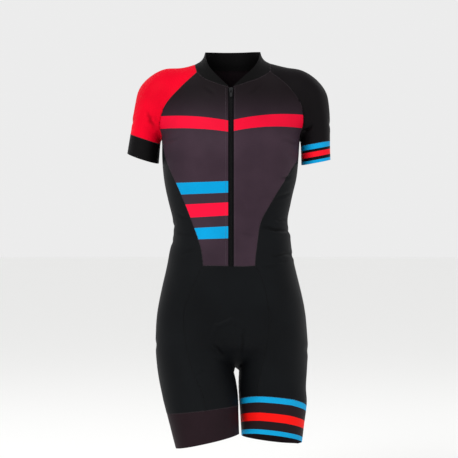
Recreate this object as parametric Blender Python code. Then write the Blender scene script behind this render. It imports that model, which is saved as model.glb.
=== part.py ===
"""A worn cycling skinsuit: raglan sleeves, banded cuffs and legs, front zip.

Every cloth panel is a thin wall between seams. The seams are short tables, read on a general
figure whose sections are named below, so neighbouring panels always share one seam line.
Lengths inside the script are millimetres; objects are built in metres, +Z up, front at -Y.
"""

import math

import bmesh
import bpy
import numpy as np
from mathutils import Matrix, Vector

MILLIMETRE = 0.001
COLLECTION_NAME = "CyclingSkinsuit"

# ---------------------------------------------------------------- driving sizes
CLOTH_THICKNESS = 1.2
BAND_THICKNESS = 1.6
COLLAR_THICKNESS = 1.8
SEAM_HALF_GAP = 0.15
SHARPEST_CORNER = 0.15     # sine of half the sharpest corner whose gap stays even
CLEARANCE = 0.3

RIGHT = -1   # the wearer's right, at -X
LEFT = 1     # the wearer's left, at +X

# How the sizes were read off a front view: scale at the figure, its zero point and the eye.
SCALE_MM_PER_PX = 2.15
ZERO_PX_X = 231.0
ZERO_PX_Y = 64.0
EYE_X, EYE_DISTANCE, EYE_Z = -4.3, 3000.0, -355.0

# How many cells lie along each kind of seam.
CELLS = {
    "raglan": 12, "collar_side": 7, "underarm": 6, "body_side": 17, "hip_side": 17,
    "waist_front": 7, "waist_back": 8, "centre": 11, "inseam": 6,
    "sleeve": 11, "cuff": 3, "leg_band": 3, "collar": 4,
}

# ---------------------------------------------------------------- the general figure
# Torso, by height: left and right side, where the side lies in depth, front, back, squareness.
TORSO_COLUMNS = ("z", "x_min", "x_max", "side_y", "front_y", "back_y", "power")
TORSO = (
    (60, -53, 61, 6, -50, 62, 2.0),
    (25, -56, 64, 6, -52, 64, 2.0),
    (0, -64, 72, 7, -57, 68, 2.0),
    (-20, -84, 92, 8, -63, 74, 2.0),
    (-50, -128, 132, 8, -78, 86, 2.1),
    (-100, -146, 147, 7, -100, 99, 2.2),
    (-160, -148, 147, 5, -122, 103, 2.25),
    (-201, -148, 145.5, 4, -131, 99, 2.25),
    (-248, -145, 141, 2, -116, 89, 2.2),
    (-300, -134.6, 129.4, 0, -101, 78, 2.2),
    (-345, -124.5, 123.6, -2, -97, 73, 2.2),
    (-376, -126.2, 135, -1, -100, 76, 2.2),
    (-416, -142, 148.4, 1, -106, 88, 2.2),
    (-455, -155, 160.6, 4, -109, 103, 2.2),
    (-493, -162.8, 173, 7, -109, 116, 2.2),
    (-530, -166, 183, 9, -106, 123, 2.2),
    (-580, -167, 181, 10, -97, 122, 2.2),
    (-608, -158, 172, 9, -80, 108, 2.2),
    (-626, -112, 128, 8, -48, 76, 2.1),
    (-639, -46, 62, 8, -16, 38, 2.0),
    (-647, 2, 16, 8, 2, 14, 2.0),
)

# Shoulder line, along X: height of the top, half depth and middle of the depth.
SHOULDER_COLUMNS = ("x", "top_z", "half_depth", "mid_y")
SHOULDER = (
    (-194, -49, 12, 9), (-181, -27, 30, 9), (-168, -14.5, 38, 9), (-155, -7, 42, 9),
    (-138, -3, 45, 9), (-112, -8.5, 46, 9), (-92, -5, 50, 9), (-70, 2, 56, 9), (-40, 6, 58, 8),
    (0, 6, 60, 8), (44, 6, 58, 8), (80, 3, 56, 9), (105, -3, 50, 9), (133, -7.5, 46, 9),
    (152, -4.5, 45, 9), (168, -10.5, 42, 9), (182, -20, 36, 9), (193, -32, 26, 9),
    (201, -48, 12, 9),
)
SHOULDER_MID_Z = -54.0
SHOULDER_LOWER_HALF = 50.0

# Upper arms, by height: outer and inner side in X, middle and half of the depth.
ARM_COLUMNS = ("z", "outer", "inner", "mid_y", "half_depth")
ARM = {
    RIGHT: (
        (-14, -154, -146, 9, 4), (-28, -180, -120, 9, 28), (-50, -194, -108, 9, 42),
        (-77, -202, -113, 10, 46), (-106, -209, -125, 12, 48), (-133, -214, -140, 15, 48),
        (-151, -217.5, -148.5, 17, 47), (-172, -221, -152.5, 19, 46), (-200, -225.5, -155, 21, 45),
        (-240, -231, -159, 24, 44),
    ),
    LEFT: (
        (-14, 158, 150, 9, 4), (-28, 187, 124, 9, 28), (-50, 201.5, 112, 9, 42),
        (-77, 207.5, 117, 10, 46), (-106, 212, 129, 12, 48), (-133, 213.5, 140, 15, 48),
        (-151, 214, 147, 17, 47), (-172, 214.3, 150.6, 19, 46), (-200, 215, 152, 21, 45),
        (-240, 216, 153, 24, 44),
    ),
}

# Thighs, by height: outer and inner side in X, where the side lies, front and back in Y.
LEG_COLUMNS = ("z", "outer", "inner", "side_y", "front_y", "back_y")
LEG = {
    RIGHT: (
        (-535, -110, -50, 0, -40, 60), (-575, -152, -14, 0, -80, 96), (-612, -163.5, -4, -2, -86, 98),
        (-643, -163.4, -1, -5, -90, 90), (-675, -158, 7, -9, -96, 80), (-711, -150, 12.5, -16, -103, 64),
        (-737, -142, 13.5, -22, -108, 53), (-789, -127.5, 15, -34, -116, 34),
        (-820, -118.5, 14.5, -40, -119, 24), (-860, -108, 14, -46, -121, 14),
    ),
    LEFT: (
        (-535, 120, 60, 10, -40, 60), (-575, 166, 24, 10, -74, 100), (-612, 177.5, 21, 10, -80, 104),
        (-643, 175.2, 20.5, 10, -78, 104), (-682, 171.4, 18.8, 12, -70, 98), (-720, 168, 19.5, 14, -64, 92),
        (-746, 164.7, 21.5, 15, -60, 88), (-789, 159.3, 24, 16, -54, 83), (-816, 155.7, 25, 17, -51, 80),
        (-860, 150, 27, 18, -47, 76),
    ),
}
YOKE_BLEND, HIP_BLEND = 16.0, 8.0      # how softly the yoke and the hips run into the torso
ARM_BLEND = (3.0, 30.0, -176.0, -132.0)    # sharp and soft, and the heights between which it turns
LEG_BLEND = (3.0, 28.0, -672.0, -632.0)
CROTCH_REACH = 55.0      # how far from the crotch, across, the thighs run softly into the torso
ARM_SPLIT_Z = -167.0     # below this height an arm and the body are apart
LEG_SPLIT_Z = -668.0     # below this height the thighs are apart
SPLIT_STEEPNESS = 3.0    # how fast the other limb is left behind, mm for each mm of height

# Seat pad, as it shows in relief through the shorts: half width, ends and height of the relief.
PAD_COLUMNS = ("half_width", "mid_x", "front_top_z", "back_top_z", "relief", "soft_edge")
PAD = (40.0, 0.0, -547.0, -560.0, 2.6, 10.0)
PAD_TOP_ARCH = 0.012     # how fast the pad's upper edge drops to the sides, 1/mm

# Folds on the front, as seen from the front: ends in X and Z, depth (a ridge is below 0), width.
FOLD_COLUMNS = ("x1", "z1", "x2", "z2", "depth", "width")
FRONT_FOLDS = (
    (70, -348, 128, -355, 3.2, 5.0),
    (92, -410, 146, -408, 2.2, 5.0),
    (62, -367, 104, -379, -1.2, 9.0),
    (-184, -108, -166, -148, 2.6, 6.0),
    (172, -136, 152, -150, 2.0, 6.0),
    (20, -570, 22, -640, 1.8, 7.0),
    (-40, -607, -16, -632, 1.8, 5.0),
)
FOLD_TAPER = (0.12, 0.76)      # a fold's depth at its ends, as a share of half a sine wave
FOLD_FADE = 12.0               # a front fold fades out within this distance of the side, mm

# ---------------------------------------------------------------- seams
# Seams on the front, as places in the front view: pixels across and down.
VIEW_SEAMS = {
    ("collar_front", RIGHT): ((228.2, 87.0), (222.5, 85.4), (217.1, 83.6), (204.9, 79.0), (196.8, 72.1)),
    ("collar_front", LEFT): ((233.8, 86.5), (240.5, 84.6), (248.0, 82.0), (261.0, 77.5), (270.0, 71.4)),
    ("raglan_front", RIGHT): ((196.8, 72.1), (178.9, 89.0), (168.2, 100.5), (161.3, 112.7), (159.4, 123.0)),
    ("raglan_front", LEFT): ((270.0, 71.4), (283.0, 81.0), (293.8, 93.0), (300.4, 102.7), (303.6, 112.7),
                             (303.8, 123.0)),
    ("body_side", RIGHT): ((164.1, 152.8), (170.5, 171.9), (175.6, 182.7), (184.9, 204.1), (193.8, 227.7),
                           (198.2, 239.4), (201.6, 251.5), (203.1, 265.7)),
    ("body_side", LEFT): ((298.5, 157.6), (293.9, 165.2), (286.2, 178.3), (278.6, 190.5), (270.9, 203.5),
                          (262.3, 217.9), (259.7, 224.8), (257.6, 242.0), (255.4, 257.5), (255.0, 265.7)),
    ("hip_side", RIGHT): ((203.1, 265.7), (200.7, 269.6), (191.7, 289.4), (184.1, 308.3), (183.3, 323.6),
                          (185.5, 344.0), (189.5, 360.5), (193.5, 375.6), (200.0, 387.3), (203.9, 400.0)),
    ("hip_side", LEFT): ((255.0, 265.7), (258.3, 270.0), (265.1, 289.0), (268.3, 307.0), (270.2, 316.0),
                         (269.6, 328.0), (266.5, 345.0), (263.5, 360.5), (260.0, 375.6), (257.0, 386.0)),
    ("waist_front", RIGHT): ((228.2, 266.0), (215.0, 265.8), (203.1, 265.7)),
    ("waist_front", LEFT): ((233.8, 266.3), (245.0, 266.4), (255.0, 265.7)),
    ("zip_edge", RIGHT): ((228.2, 87.0), (228.2, 150.0), (228.2, 210.0), (228.2, 266.0)),
    ("zip_edge", LEFT): ((233.8, 86.5), (233.8, 150.0), (233.8, 210.0), (233.8, 266.3)),
    ("collar_top", RIGHT): ((228.2, 85.7), (220.0, 78.0), (212.0, 70.0), (207.0, 63.0)),
    ("collar_top", LEFT): ((233.8, 85.4), (241.0, 78.5), (251.5, 69.5), (258.0, 61.5)),
}

# Places on the hidden sides, close to the figure's surface.
ARMPIT_FRONT = {RIGHT: (-149.5, -14, -156), LEFT: (148, -14, -157)}
ARMPIT_MID = {RIGHT: (-149, 12, -165), LEFT: (147.5, 12, -166)}
ARMPIT_BACK = {RIGHT: (-147, 42, -152), LEFT: (146, 42, -153)}
COLLAR_SIDE = {RIGHT: ((-76, -2, -3), (-72, 32, 3)), LEFT: ((84, -2, -1), (80, 32, 4))}
COLLAR_BACK_POINT = {RIGHT: (-58, 58, 0), LEFT: (66, 58, 1)}
COLLAR_BACK = ((-34, 72, -3), (4, 78, -5), (42, 72, -3))
COLLAR_TOP_SIDE = {RIGHT: ((-56, 6, 25), (-44, 42, 30)), LEFT: ((64, 6, 26), (52, 42, 31))}
COLLAR_TOP_BACK = (4, 64, 32)
RAGLAN_BACK = {
    RIGHT: ((-86, 72, -30), (-116, 86, -70), (-138, 76, -110)),
    LEFT: ((92, 72, -30), (119, 86, -70), (139, 76, -110)),
}
# Back edge of the side panels, by height: share of the half width and share of the back depth.
BACK_EDGE_COLUMNS = ("z", "across", "behind")
BODY_SIDE_BACK = ((-178, 0.96, 0.47), (-205, 0.92, 0.56), (-270, 0.82, 0.72), (-350, 0.72, 0.82))
WAIST_BACK_CORNER = (-432, 0.66, 0.86)
HIP_SIDE_BACK = ((-480, 0.68, 0.86), (-540, 0.74, 0.80), (-600, 0.76, 0.74))
LEG_SIDE_BACK = ((-670, 0.60, 0.82), (-715, 0.52, 0.86))
LEG_BAND_BACK = (0.50, 0.90)
WAIST_BACK_MID = (2, 96, -428)
CENTRE_FRONT = ((0, -108, -434), (2, -107, -500), (5, -100, -560), (8, -80, -606), (9, -38, -636))
CENTRE_BACK = ((2, 96, -428), (4, 118, -500), (6, 122, -560), (8, 106, -602), (9, 54, -636))
CROTCH = (9, 8, -648)
INSEAM = {
    RIGHT: ((2, 4, -656), (8, -4, -680), (12, -14, -705)),
    LEFT: ((18, 11, -656), (19, 12, -680), (19, 13, -705)),
}

RING_SEARCH = (5.0, 130.0)     # a limb's surface lies between these distances from its middle
# Level of each ring round a limb: height at the limb's middle, slope across and slope in depth.
RING_COLUMNS = ("z", "slope_x", "slope_y")
CUFF_SEAM = {RIGHT: (-161.5, -0.33, 0.05), LEFT: (-169.5, 0.18, 0.05)}
CUFF_HEM = {RIGHT: (-202.0, -0.33, 0.12), LEFT: (-211.0, 0.19, 0.06)}
BAND_SEAM = {RIGHT: (-740.0, 0.116, -0.085), LEFT: (-731.5, -0.088, -0.29)}
BAND_HEM = {RIGHT: (-804.5, 0.225, -0.06), LEFT: (-808.0, -0.122, -0.25)}

# Sleeve half way from its upper edge to the cuff: mean height, and how far it tilts.
SLEEVE_HALF_WAY = (-104.0, 54.0)

# ---------------------------------------------------------------- zip
TAPE_REACH = 15.0          # from the zip's middle to the tape's edge
TAPE_THICKNESS = 0.8
COIL_WIDTH = 5.6
COIL_ABOVE_CLOTH = 0.6
SLIDER_WIDTH, SLIDER_LENGTH = 8.6, 11.0
SLIDER_BELOW_TOP = 9.0     # from the zip's top to the slider's middle, along the zip
SLIDER_FLOOR, SLIDER_TOP = 0.3, 3.6        # heights over the tape
BRIDGE_WIDTH = 2.4
BRIDGE_OUTLINE = ((-3.6, 2.5), (-3.6, 7.0), (3.6, 7.0), (3.6, 2.5))      # along the zip, over the tape
BRIDGE_SLOT = ((-2.4, 3.9), (-2.4, 5.8), (2.4, 5.8), (2.4, 3.9))
HINGE_ALONG, HINGE_OVER = -1.45, 4.85      # the pull's axis: along the zip, over the tape
PULL_WIDTH, PULL_THICKNESS, PULL_LENGTH = 6.2, 1.2, 16.0
PULL_TAPER = 0.6                           # how much the pull narrows, each side, to its end
PULL_EYE_WIDTH = 3.3
PULL_EYE = (-5.9, -0.6)                    # ends of the eye, along the pull from its axis
PULL_HEAD = 0.6                            # from the axis to the pull's upper end

# ---------------------------------------------------------------- seat pad
PAD_THICKNESS, PAD_EDGE = 7.0, 2.0
PAD_COLUMNS_EACH_SIDE = 3      # cells of the shorts that the pad covers each side of the middle
PAD_ROWS_ON_INSEAM = 1         # and down each inseam

# ---------------------------------------------------------------- finishes
COLOURS = {
    "aubergine": (0.036, 0.022, 0.030), "black": (0.010, 0.011, 0.013), "red": (0.80, 0.004, 0.030),
    "plum": (0.024, 0.012, 0.015), "near_black": (0.006, 0.006, 0.007), "pad": (0.08, 0.08, 0.09),
    "zip_black": (0.012, 0.012, 0.013), "metal": (0.05, 0.05, 0.055),
}


# ================================================================ smooth tables and figure
def column(rows, index):
    """Return one column of a table as an array."""
    return np.array([row[index] for row in rows], dtype=float)


def read_table(rows, at):
    """Read a table's columns at given heights with a smooth curve through its rows."""
    keys = column(rows, 0)
    order = np.argsort(keys)
    keys = keys[order]
    values = np.array([row[1:] for row in rows], dtype=float)[order]
    at = np.clip(at, keys[0], keys[-1])
    right = np.clip(np.searchsorted(keys, at), 1, len(keys) - 1)
    left = right - 1
    span = keys[right] - keys[left]
    t = ((at - keys[left]) / span)[..., None]
    slopes = np.gradient(values, keys, axis=0)
    low, high = values[left], values[right]
    slope_low, slope_high = slopes[left] * span[..., None], slopes[right] * span[..., None]
    t2, t3 = t * t, t * t * t
    return ((2 * t3 - 3 * t2 + 1) * low + (t3 - 2 * t2 + t) * slope_low
            + (3 * t2 - 2 * t3) * high + (t3 - t2) * slope_high)


def section_distance(dx, dy, half_x, half_y, power):
    """Distance to a section's outline, along the ray from its middle; below 0 inside."""
    reach = np.hypot(dx, dy)
    half_x = np.maximum(half_x, 0.5)
    half_y = np.maximum(half_y, 0.5)
    ratio = ((np.abs(dx) / half_x) ** power + (np.abs(dy) / half_y) ** power) ** (1.0 / power)
    outline = np.where(reach > 1e-6, reach / np.maximum(ratio, 1e-9), np.minimum(half_x, half_y))
    return reach - outline


def blend(a, b, radius):
    """Smooth union of two distances."""
    overlap = np.maximum(radius - np.abs(a - b), 0.0) / radius
    return np.minimum(a, b) - overlap * overlap * radius * 0.25


def ramp(value, low, high):
    """Soft step from 0 at low to 1 at high."""
    t = np.clip((value - low) / (high - low), 0.0, 1.0)
    return t * t * (3.0 - 2.0 * t)


def torso_distance(p):
    """Distance from the torso."""
    z = p[:, 2]
    x_min, x_max, side, front, back, power = read_table(TORSO, z).T
    dy = p[:, 1] - side
    half_y = np.where(dy < 0, side - front, back - side)
    distance = section_distance(p[:, 0] - (x_min + x_max) / 2, dy, (x_max - x_min) / 2, half_y, power)
    return np.maximum(distance, TORSO[-1][0] - z)


def shoulder_distance(p):
    """Distance from the yoke that carries the shoulder line."""
    top, depth, middle = read_table(SHOULDER, p[:, 0]).T
    dz = p[:, 2] - SHOULDER_MID_Z
    half_z = np.where(dz > 0, np.maximum(top - SHOULDER_MID_Z, 0.5), SHOULDER_LOWER_HALF)
    distance = section_distance(p[:, 1] - middle, dz, depth, half_z, 2.0)
    beyond = np.maximum(SHOULDER[0][0] - p[:, 0], p[:, 0] - SHOULDER[-1][0])
    return np.maximum(distance, beyond)


def arm_distance(p, side):
    """Distance from one upper arm."""
    outer, inner, middle, depth = read_table(ARM[side], p[:, 2]).T
    distance = section_distance(p[:, 0] - (outer + inner) / 2, p[:, 1] - middle,
                                np.abs(outer - inner) / 2, depth, 2.1)
    return np.maximum(distance, np.maximum(p[:, 2] - ARM[side][0][0], ARM[side][-1][0] - p[:, 2]))


def leg_distance(p, side):
    """Distance from one thigh."""
    outer, inner, side_y, front, back = read_table(LEG[side], p[:, 2]).T
    dy = p[:, 1] - side_y
    half_y = np.where(dy < 0, side_y - front, back - side_y)
    distance = section_distance(p[:, 0] - (outer + inner) / 2, dy, np.abs(outer - inner) / 2, half_y, 2.1)
    return np.maximum(distance, p[:, 2] - LEG[side][0][0])


def fold_relief(p):
    """How far the front folds and the seat pad move the surface; above 0 is inward."""
    x, y, z = p.T
    relief = np.zeros(len(p))
    for x1, z1, x2, z2, depth, width in FRONT_FOLDS:
        length = math.hypot(x2 - x1, z2 - z1)
        along = ((x - x1) * (x2 - x1) + (z - z1) * (z2 - z1)) / length ** 2
        nearest = np.clip(along, 0.0, 1.0)
        away = np.hypot(x - x1 - nearest * (x2 - x1), z - z1 - nearest * (z2 - z1))
        taper = np.sin(np.pi * np.clip(FOLD_TAPER[0] + FOLD_TAPER[1] * along, 0.0, 1.0))
        relief += depth * taper * np.exp(-(away / width) ** 2) * ramp(-y, -FOLD_FADE, FOLD_FADE)
    half_width, mid_x, front_top, back_top, height, edge = PAD
    top = np.where(y < 0, front_top, back_top) - PAD_TOP_ARCH * (x - mid_x) ** 2
    inside = ramp(top - z, -edge, edge) * ramp(half_width - np.abs(x - mid_x), -edge, edge)
    return relief - height * inside


def softness(z, turn):
    """Blend radius at each height: sharp below, soft above."""
    sharp, soft, low, high = turn
    return sharp + (soft - sharp) * ramp(z, low, high)


def figure(p, without=None):
    """Distance from the whole figure's surface; `without` names a limb that is left behind."""
    z = p[:, 2]
    body = torso_distance(p)
    arm_right, arm_left = arm_distance(p, RIGHT), arm_distance(p, LEFT)
    leg_right, leg_left = leg_distance(p, RIGHT), leg_distance(p, LEFT)
    below_arm = SPLIT_STEEPNESS * np.maximum(ARM_SPLIT_Z - z, 0.0)
    below_leg = SPLIT_STEEPNESS * np.maximum(LEG_SPLIT_Z - z, 0.0)
    if without == "arms":
        arm_right, arm_left = arm_right + below_arm, arm_left + below_arm
    if without == "body":
        body = body + below_arm
    if without == ("leg", RIGHT):
        leg_right = leg_right + below_leg
    if without == ("leg", LEFT):
        leg_left = leg_left + below_leg
    yoke = shoulder_distance(p)
    distance = blend(body, yoke, YOKE_BLEND)
    arm_blend = softness(z, ARM_BLEND)
    distance = blend(distance, arm_right, arm_blend)
    distance = blend(distance, arm_left, arm_blend)
    leg_blend = softness(z, LEG_BLEND)
    legs = blend(leg_right, leg_left, leg_blend)
    near_crotch = np.exp(-((p[:, 0] - CROTCH[0]) / CROTCH_REACH) ** 2)
    hip_blend = HIP_BLEND + np.maximum(leg_blend - HIP_BLEND, 0.0) * near_crotch
    distance = blend(distance, legs, hip_blend)
    return distance + fold_relief(p)


def gradient(p, without=None):
    """Outward unit normal of the figure at each point, and the slope's size."""
    step = 0.4
    slope = np.empty_like(p)
    for axis in range(3):
        offset = np.zeros(3)
        offset[axis] = step
        slope[:, axis] = (figure(p + offset, without) - figure(p - offset, without)) / (2 * step)
    size = np.linalg.norm(slope, axis=1, keepdims=True)
    return slope / np.maximum(size, 1e-9), np.maximum(size, 1e-3)


def settle(p, without=None, rounds=12, reach=25.0):
    """Move points along the figure's slope until they lie on its surface."""
    p = np.array(p, dtype=float)
    step = 0.3
    for _ in range(rounds):
        here = figure(p, without)
        slope = np.stack([figure(p + offset, without) - here for offset in np.eye(3) * step], axis=1)
        slope /= step
        size = np.maximum(np.sum(slope * slope, axis=1), 0.04)
        move = slope * (here / size)[:, None]
        length = np.linalg.norm(move, axis=1, keepdims=True)
        p -= move * np.minimum(1.0, reach / np.maximum(length, 1e-9))
    return p


# ================================================================ curves
def smooth_curve(points, steps=16):
    """Catmull-Rom curve through points, by chord length."""
    points = np.array(points, dtype=float)
    if len(points) == 2:
        return points[0] + (points[1] - points[0]) * np.linspace(0, 1, steps + 1)[:, None]
    chord = np.sqrt(np.linalg.norm(np.diff(points, axis=0), axis=1))
    keys = np.concatenate([[0.0], np.cumsum(chord)])
    rows = [(key, *point) for key, point in zip(keys, points)]
    spans = [np.linspace(a, b, steps, endpoint=False) for a, b in zip(keys, keys[1:])]
    return read_table(rows, np.concatenate(spans + [keys[-1:]]))


def divide(points, cells):
    """Divide a polyline into cells of equal length."""
    lengths = np.concatenate([[0.0], np.cumsum(np.linalg.norm(np.diff(points, axis=0), axis=1))])
    at = np.linspace(0.0, lengths[-1], cells + 1)
    return np.stack([np.interp(at, lengths, points[:, axis]) for axis in range(3)], axis=1)


def seam_curve(points, cells, without=None):
    """A seam on the figure: smooth through its points, divided evenly, ends kept."""
    dense = smooth_curve(points)
    ends = dense[0].copy(), dense[-1].copy()
    dense = settle(dense, without)
    line = settle(divide(dense, cells), without)
    line[0], line[-1] = settle(np.array(ends), without)
    return line


def from_view(places):
    """Find points of the figure's front behind places in the front view."""
    places = np.array(places, dtype=float)
    at_zero = np.stack([(places[:, 0] - ZERO_PX_X) * SCALE_MM_PER_PX, np.zeros(len(places)),
                        (ZERO_PX_Y - places[:, 1]) * SCALE_MM_PER_PX], axis=1)
    eye = np.array([EYE_X, -EYE_DISTANCE, EYE_Z])
    depths = np.arange(-170.0, 60.0, 2.0)
    shares = (depths + EYE_DISTANCE) / EYE_DISTANCE
    rays = eye + (at_zero - eye)[:, None, :] * shares[None, :, None]
    values = figure(rays.reshape(-1, 3)).reshape(len(places), -1)
    found = []
    for ray, value in zip(rays, values):
        inside = np.nonzero(value < 0)[0]
        if len(inside) and inside[0] > 0:
            k = inside[0]
            t = value[k - 1] / (value[k - 1] - value[k])
            found.append(ray[k - 1] + t * (ray[k] - ray[k - 1]))
        else:
            found.append(ray[np.argmin(value)])
    return [tuple(point) for point in found]


def view_seam(name, side, cells, start=None, end=None):
    """A seam on the front from its places in the view, with fixed end points where given."""
    points = from_view(VIEW_SEAMS[(name, side)])
    if start is not None:
        points = [tuple(start)] + points
    if end is not None:
        points = points + [tuple(end)]
    return seam_curve(points, cells)


def back_edge_point(row, side):
    """A guess for the side panel's back edge on the torso, from its shares."""
    z, across, behind = row
    x_min, x_max, side_y, _, back, _ = read_table(TORSO, np.array([float(z)]))[0]
    return ((x_min + x_max) / 2 + side * (x_max - x_min) / 2 * across, side_y + (back - side_y) * behind, z)


def leg_edge_point(row, side):
    """A guess for the side panel's back edge on the thigh, from its shares."""
    z, across, behind = row
    outer, inner, side_y, _, back = read_table(LEG[side], np.array([float(z)]))[0]
    middle = (outer + inner) / 2
    return (middle + (outer - middle) * across, side_y + (back - side_y) * behind, z)


def limb_ring(distance_from, middle, level, angles):
    """Points of a ring round a limb on a sloping level, at the given angles about its middle."""
    z_mid, slope_x, slope_y = level
    cx, cy = middle
    directions = np.stack([np.cos(angles), np.sin(angles)], axis=1)
    reach = np.full(len(angles), RING_SEARCH[0])
    limit = np.full(len(angles), RING_SEARCH[1])

    def point(distance):
        offset = directions * distance[:, None]
        z = z_mid + slope_x * offset[:, 0] + slope_y * offset[:, 1]
        return np.stack([cx + offset[:, 0], cy + offset[:, 1], z], axis=1)

    for _ in range(40):
        half = (reach + limit) / 2
        inside = distance_from(point(half)) < 0
        reach = np.where(inside, half, reach)
        limit = np.where(inside, limit, half)
    return point((reach + limit) / 2)


def arm_middle(side, z):
    """Middle of an arm's section at a height."""
    outer, inner, middle, _ = read_table(ARM[side], np.array([float(z)]))[0]
    return (outer + inner) / 2, middle


def leg_middle(side, z):
    """Middle of a thigh's section at a height."""
    outer, inner, _, front, back = read_table(LEG[side], np.array([float(z)]))[0]
    return (outer + inner) / 2, (front + back) / 2


# ================================================================ panels
def coons(top, bottom, left, right):
    """Guess a four-sided panel's inside from its four edges."""
    columns, rows = len(top), len(left)
    u = np.linspace(0, 1, columns)[None, :, None]
    v = np.linspace(0, 1, rows)[:, None, None]
    ruled_v = (1 - v) * top[None] + v * bottom[None]
    ruled_u = (1 - u) * left[:, None] + u * right[:, None]
    corners = ((1 - u) * (1 - v) * top[0] + u * (1 - v) * top[-1]
               + (1 - u) * v * bottom[0] + u * v * bottom[-1])
    return ruled_v + ruled_u - corners


def relax(grid, without=None, rounds=24, wrap=False, keep_columns=(), share_across=0.5):
    """Even out a panel's inside on the figure; its edges and kept columns stay."""
    grid = grid.copy()
    rows, columns = grid.shape[:2]
    free = np.ones((rows, columns), dtype=bool)
    free[0] = free[-1] = False
    if not wrap:
        free[:, 0] = free[:, -1] = False
    for kept in keep_columns:
        free[:, kept] = False
    grid[free] = settle(grid[free], without, reach=10.0)
    for _ in range(rounds):
        if wrap:
            across = (np.roll(grid, 1, axis=1) + np.roll(grid, -1, axis=1)) / 2
        else:
            across = grid.copy()
            across[:, 1:-1] = (grid[:, :-2] + grid[:, 2:]) / 2
        along = grid.copy()
        along[1:-1] = (grid[:-2] + grid[2:]) / 2
        target = across * share_across + along * (1.0 - share_across)
        grid[free] = settle(target[free], without, rounds=1, reach=3.0)
    grid[free] = settle(grid[free], without, rounds=8, reach=1.0)
    return grid


class Wall:
    """Collects grids of surface points and turns them into one closed wall."""

    def __init__(self, without=None):
        self.points = []
        self.lookup = {}
        self.quads = []
        self.grids = []
        self.without = without

    def vertex(self, point):
        """Index of a point; points within a hundredth of a millimetre are one."""
        key = tuple(int(round(value * 100)) for value in point)
        if key not in self.lookup:
            self.lookup[key] = len(self.points)
            self.points.append(np.array(point, dtype=float))
        return self.lookup[key]

    def add_grid(self, grid, wrap=False):
        """Add a grid of surface points as quads."""
        rows, columns = grid.shape[:2]
        first = len(self.quads)
        index = [[self.vertex(grid[r, c]) for c in range(columns)] for r in range(rows)]
        for r in range(rows - 1):
            for c in range(columns if wrap else columns - 1):
                d = (c + 1) % columns
                self.quads.append((index[r][c], index[r][d], index[r + 1][d], index[r + 1][c]))
        self.grids.append((first, len(self.quads)))

    def oriented(self, points):
        """Quads turned so that they face outward."""
        a, b, c, d = (points[[quad[k] for quad in self.quads]] for k in range(4))
        facing = np.cross(c - a, d - b)
        normal, _ = gradient((a + b + c + d) / 4, self.without)
        outward = np.sum(facing * normal, axis=1)
        turned = []
        for first, last in self.grids:
            keep = np.sum(outward[first:last]) > 0
            turned += [quad if keep else tuple(reversed(quad)) for quad in self.quads[first:last]]
        return turned

    @staticmethod
    def split(points, quads):
        """Split quads along their shorter diagonals, so both sides of a wall fold alike."""
        triangles = []
        for a, b, c, d in quads:
            if np.linalg.norm(points[a] - points[c]) <= np.linalg.norm(points[b] - points[d]):
                triangles += [(a, b, c), (a, c, d)]
            else:
                triangles += [(a, b, d), (b, c, d)]
        return triangles

    def pulled_back(self, points, quads, normal, gap):
        """Move edge points into the panel so that a seam's gap opens evenly."""
        directed = {(quad[k], quad[(k + 1) % 4]) for quad in quads for k in range(4)}
        rim = [(a, b) for a, b in directed if (b, a) not in directed]
        after = dict(rim)
        before = {b: a for a, b in rim}
        moved = points.copy()
        for vertex in after:
            sides = []
            for a, b in ((before[vertex], vertex), (vertex, after[vertex])):
                edge = points[b] - points[a]
                inward = np.cross(normal[vertex], edge)
                sides.append(inward / max(np.linalg.norm(inward), 1e-9))
            middle = sides[0] + sides[1]
            middle /= max(np.linalg.norm(middle), 1e-9)
            share = max(float(np.dot(middle, sides[0])), SHARPEST_CORNER)
            moved[vertex] = points[vertex] + middle * gap / share
        return moved, rim

    def edge_points(self):
        """Indices of the points on the panel's edges."""
        quads = self.oriented(np.array(self.points))
        directed = {(quad[k], quad[(k + 1) % 4]) for quad in quads for k in range(4)}
        return sorted({a for a, b in directed if (b, a) not in directed})

    def build(self, name, thickness, colour, depth=0.0, gap=SEAM_HALF_GAP, roughness=0.55):
        """Make the closed wall as an object, its outer side `depth` under the figure."""
        points = np.array(self.points)
        quads = self.oriented(points)
        normal, _ = gradient(points)
        own, _ = gradient(points, self.without)
        outer, rim = self.pulled_back(points, quads, normal, gap)
        edge = np.zeros(len(points), dtype=bool)
        edge[[a for a, _ in rim]] = True
        direction = np.where(edge[:, None], normal, own)
        outer = outer - direction * depth
        inner = outer - direction * np.reshape(thickness, (-1, 1))
        count = len(points)
        triangles = self.split(points, quads)
        faces = list(triangles)
        faces += [(count + c, count + b, count + a) for a, b, c in triangles]
        under = points - normal * np.max(thickness)
        for a, b in rim:
            if np.linalg.norm(points[a] - under[b]) < np.linalg.norm(points[b] - under[a]):
                faces += [(b, a, count + b), (a, count + a, count + b)]
            else:
                faces += [(b, a, count + a), (b, count + a, count + b)]
        return make_object(name, np.vstack([outer, inner]), faces, colour, roughness)


# ================================================================ Blender objects
def material(name, roughness):
    """A Principled material for a named colour."""
    key = f"{name}_{roughness:.2f}"
    existing = bpy.data.materials.get(key)
    if existing:
        return existing
    made = bpy.data.materials.new(key)
    made.use_nodes = True
    shader = made.node_tree.nodes["Principled BSDF"]
    shader.inputs["Base Color"].default_value = (*COLOURS[name], 1.0)
    shader.inputs["Roughness"].default_value = roughness
    shader.inputs["Metallic"].default_value = 0.0
    return made


def collection():
    """The collection that holds the suit."""
    existing = bpy.data.collections.get(COLLECTION_NAME)
    if existing:
        return existing
    made = bpy.data.collections.new(COLLECTION_NAME)
    bpy.context.scene.collection.children.link(made)
    return made


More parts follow.
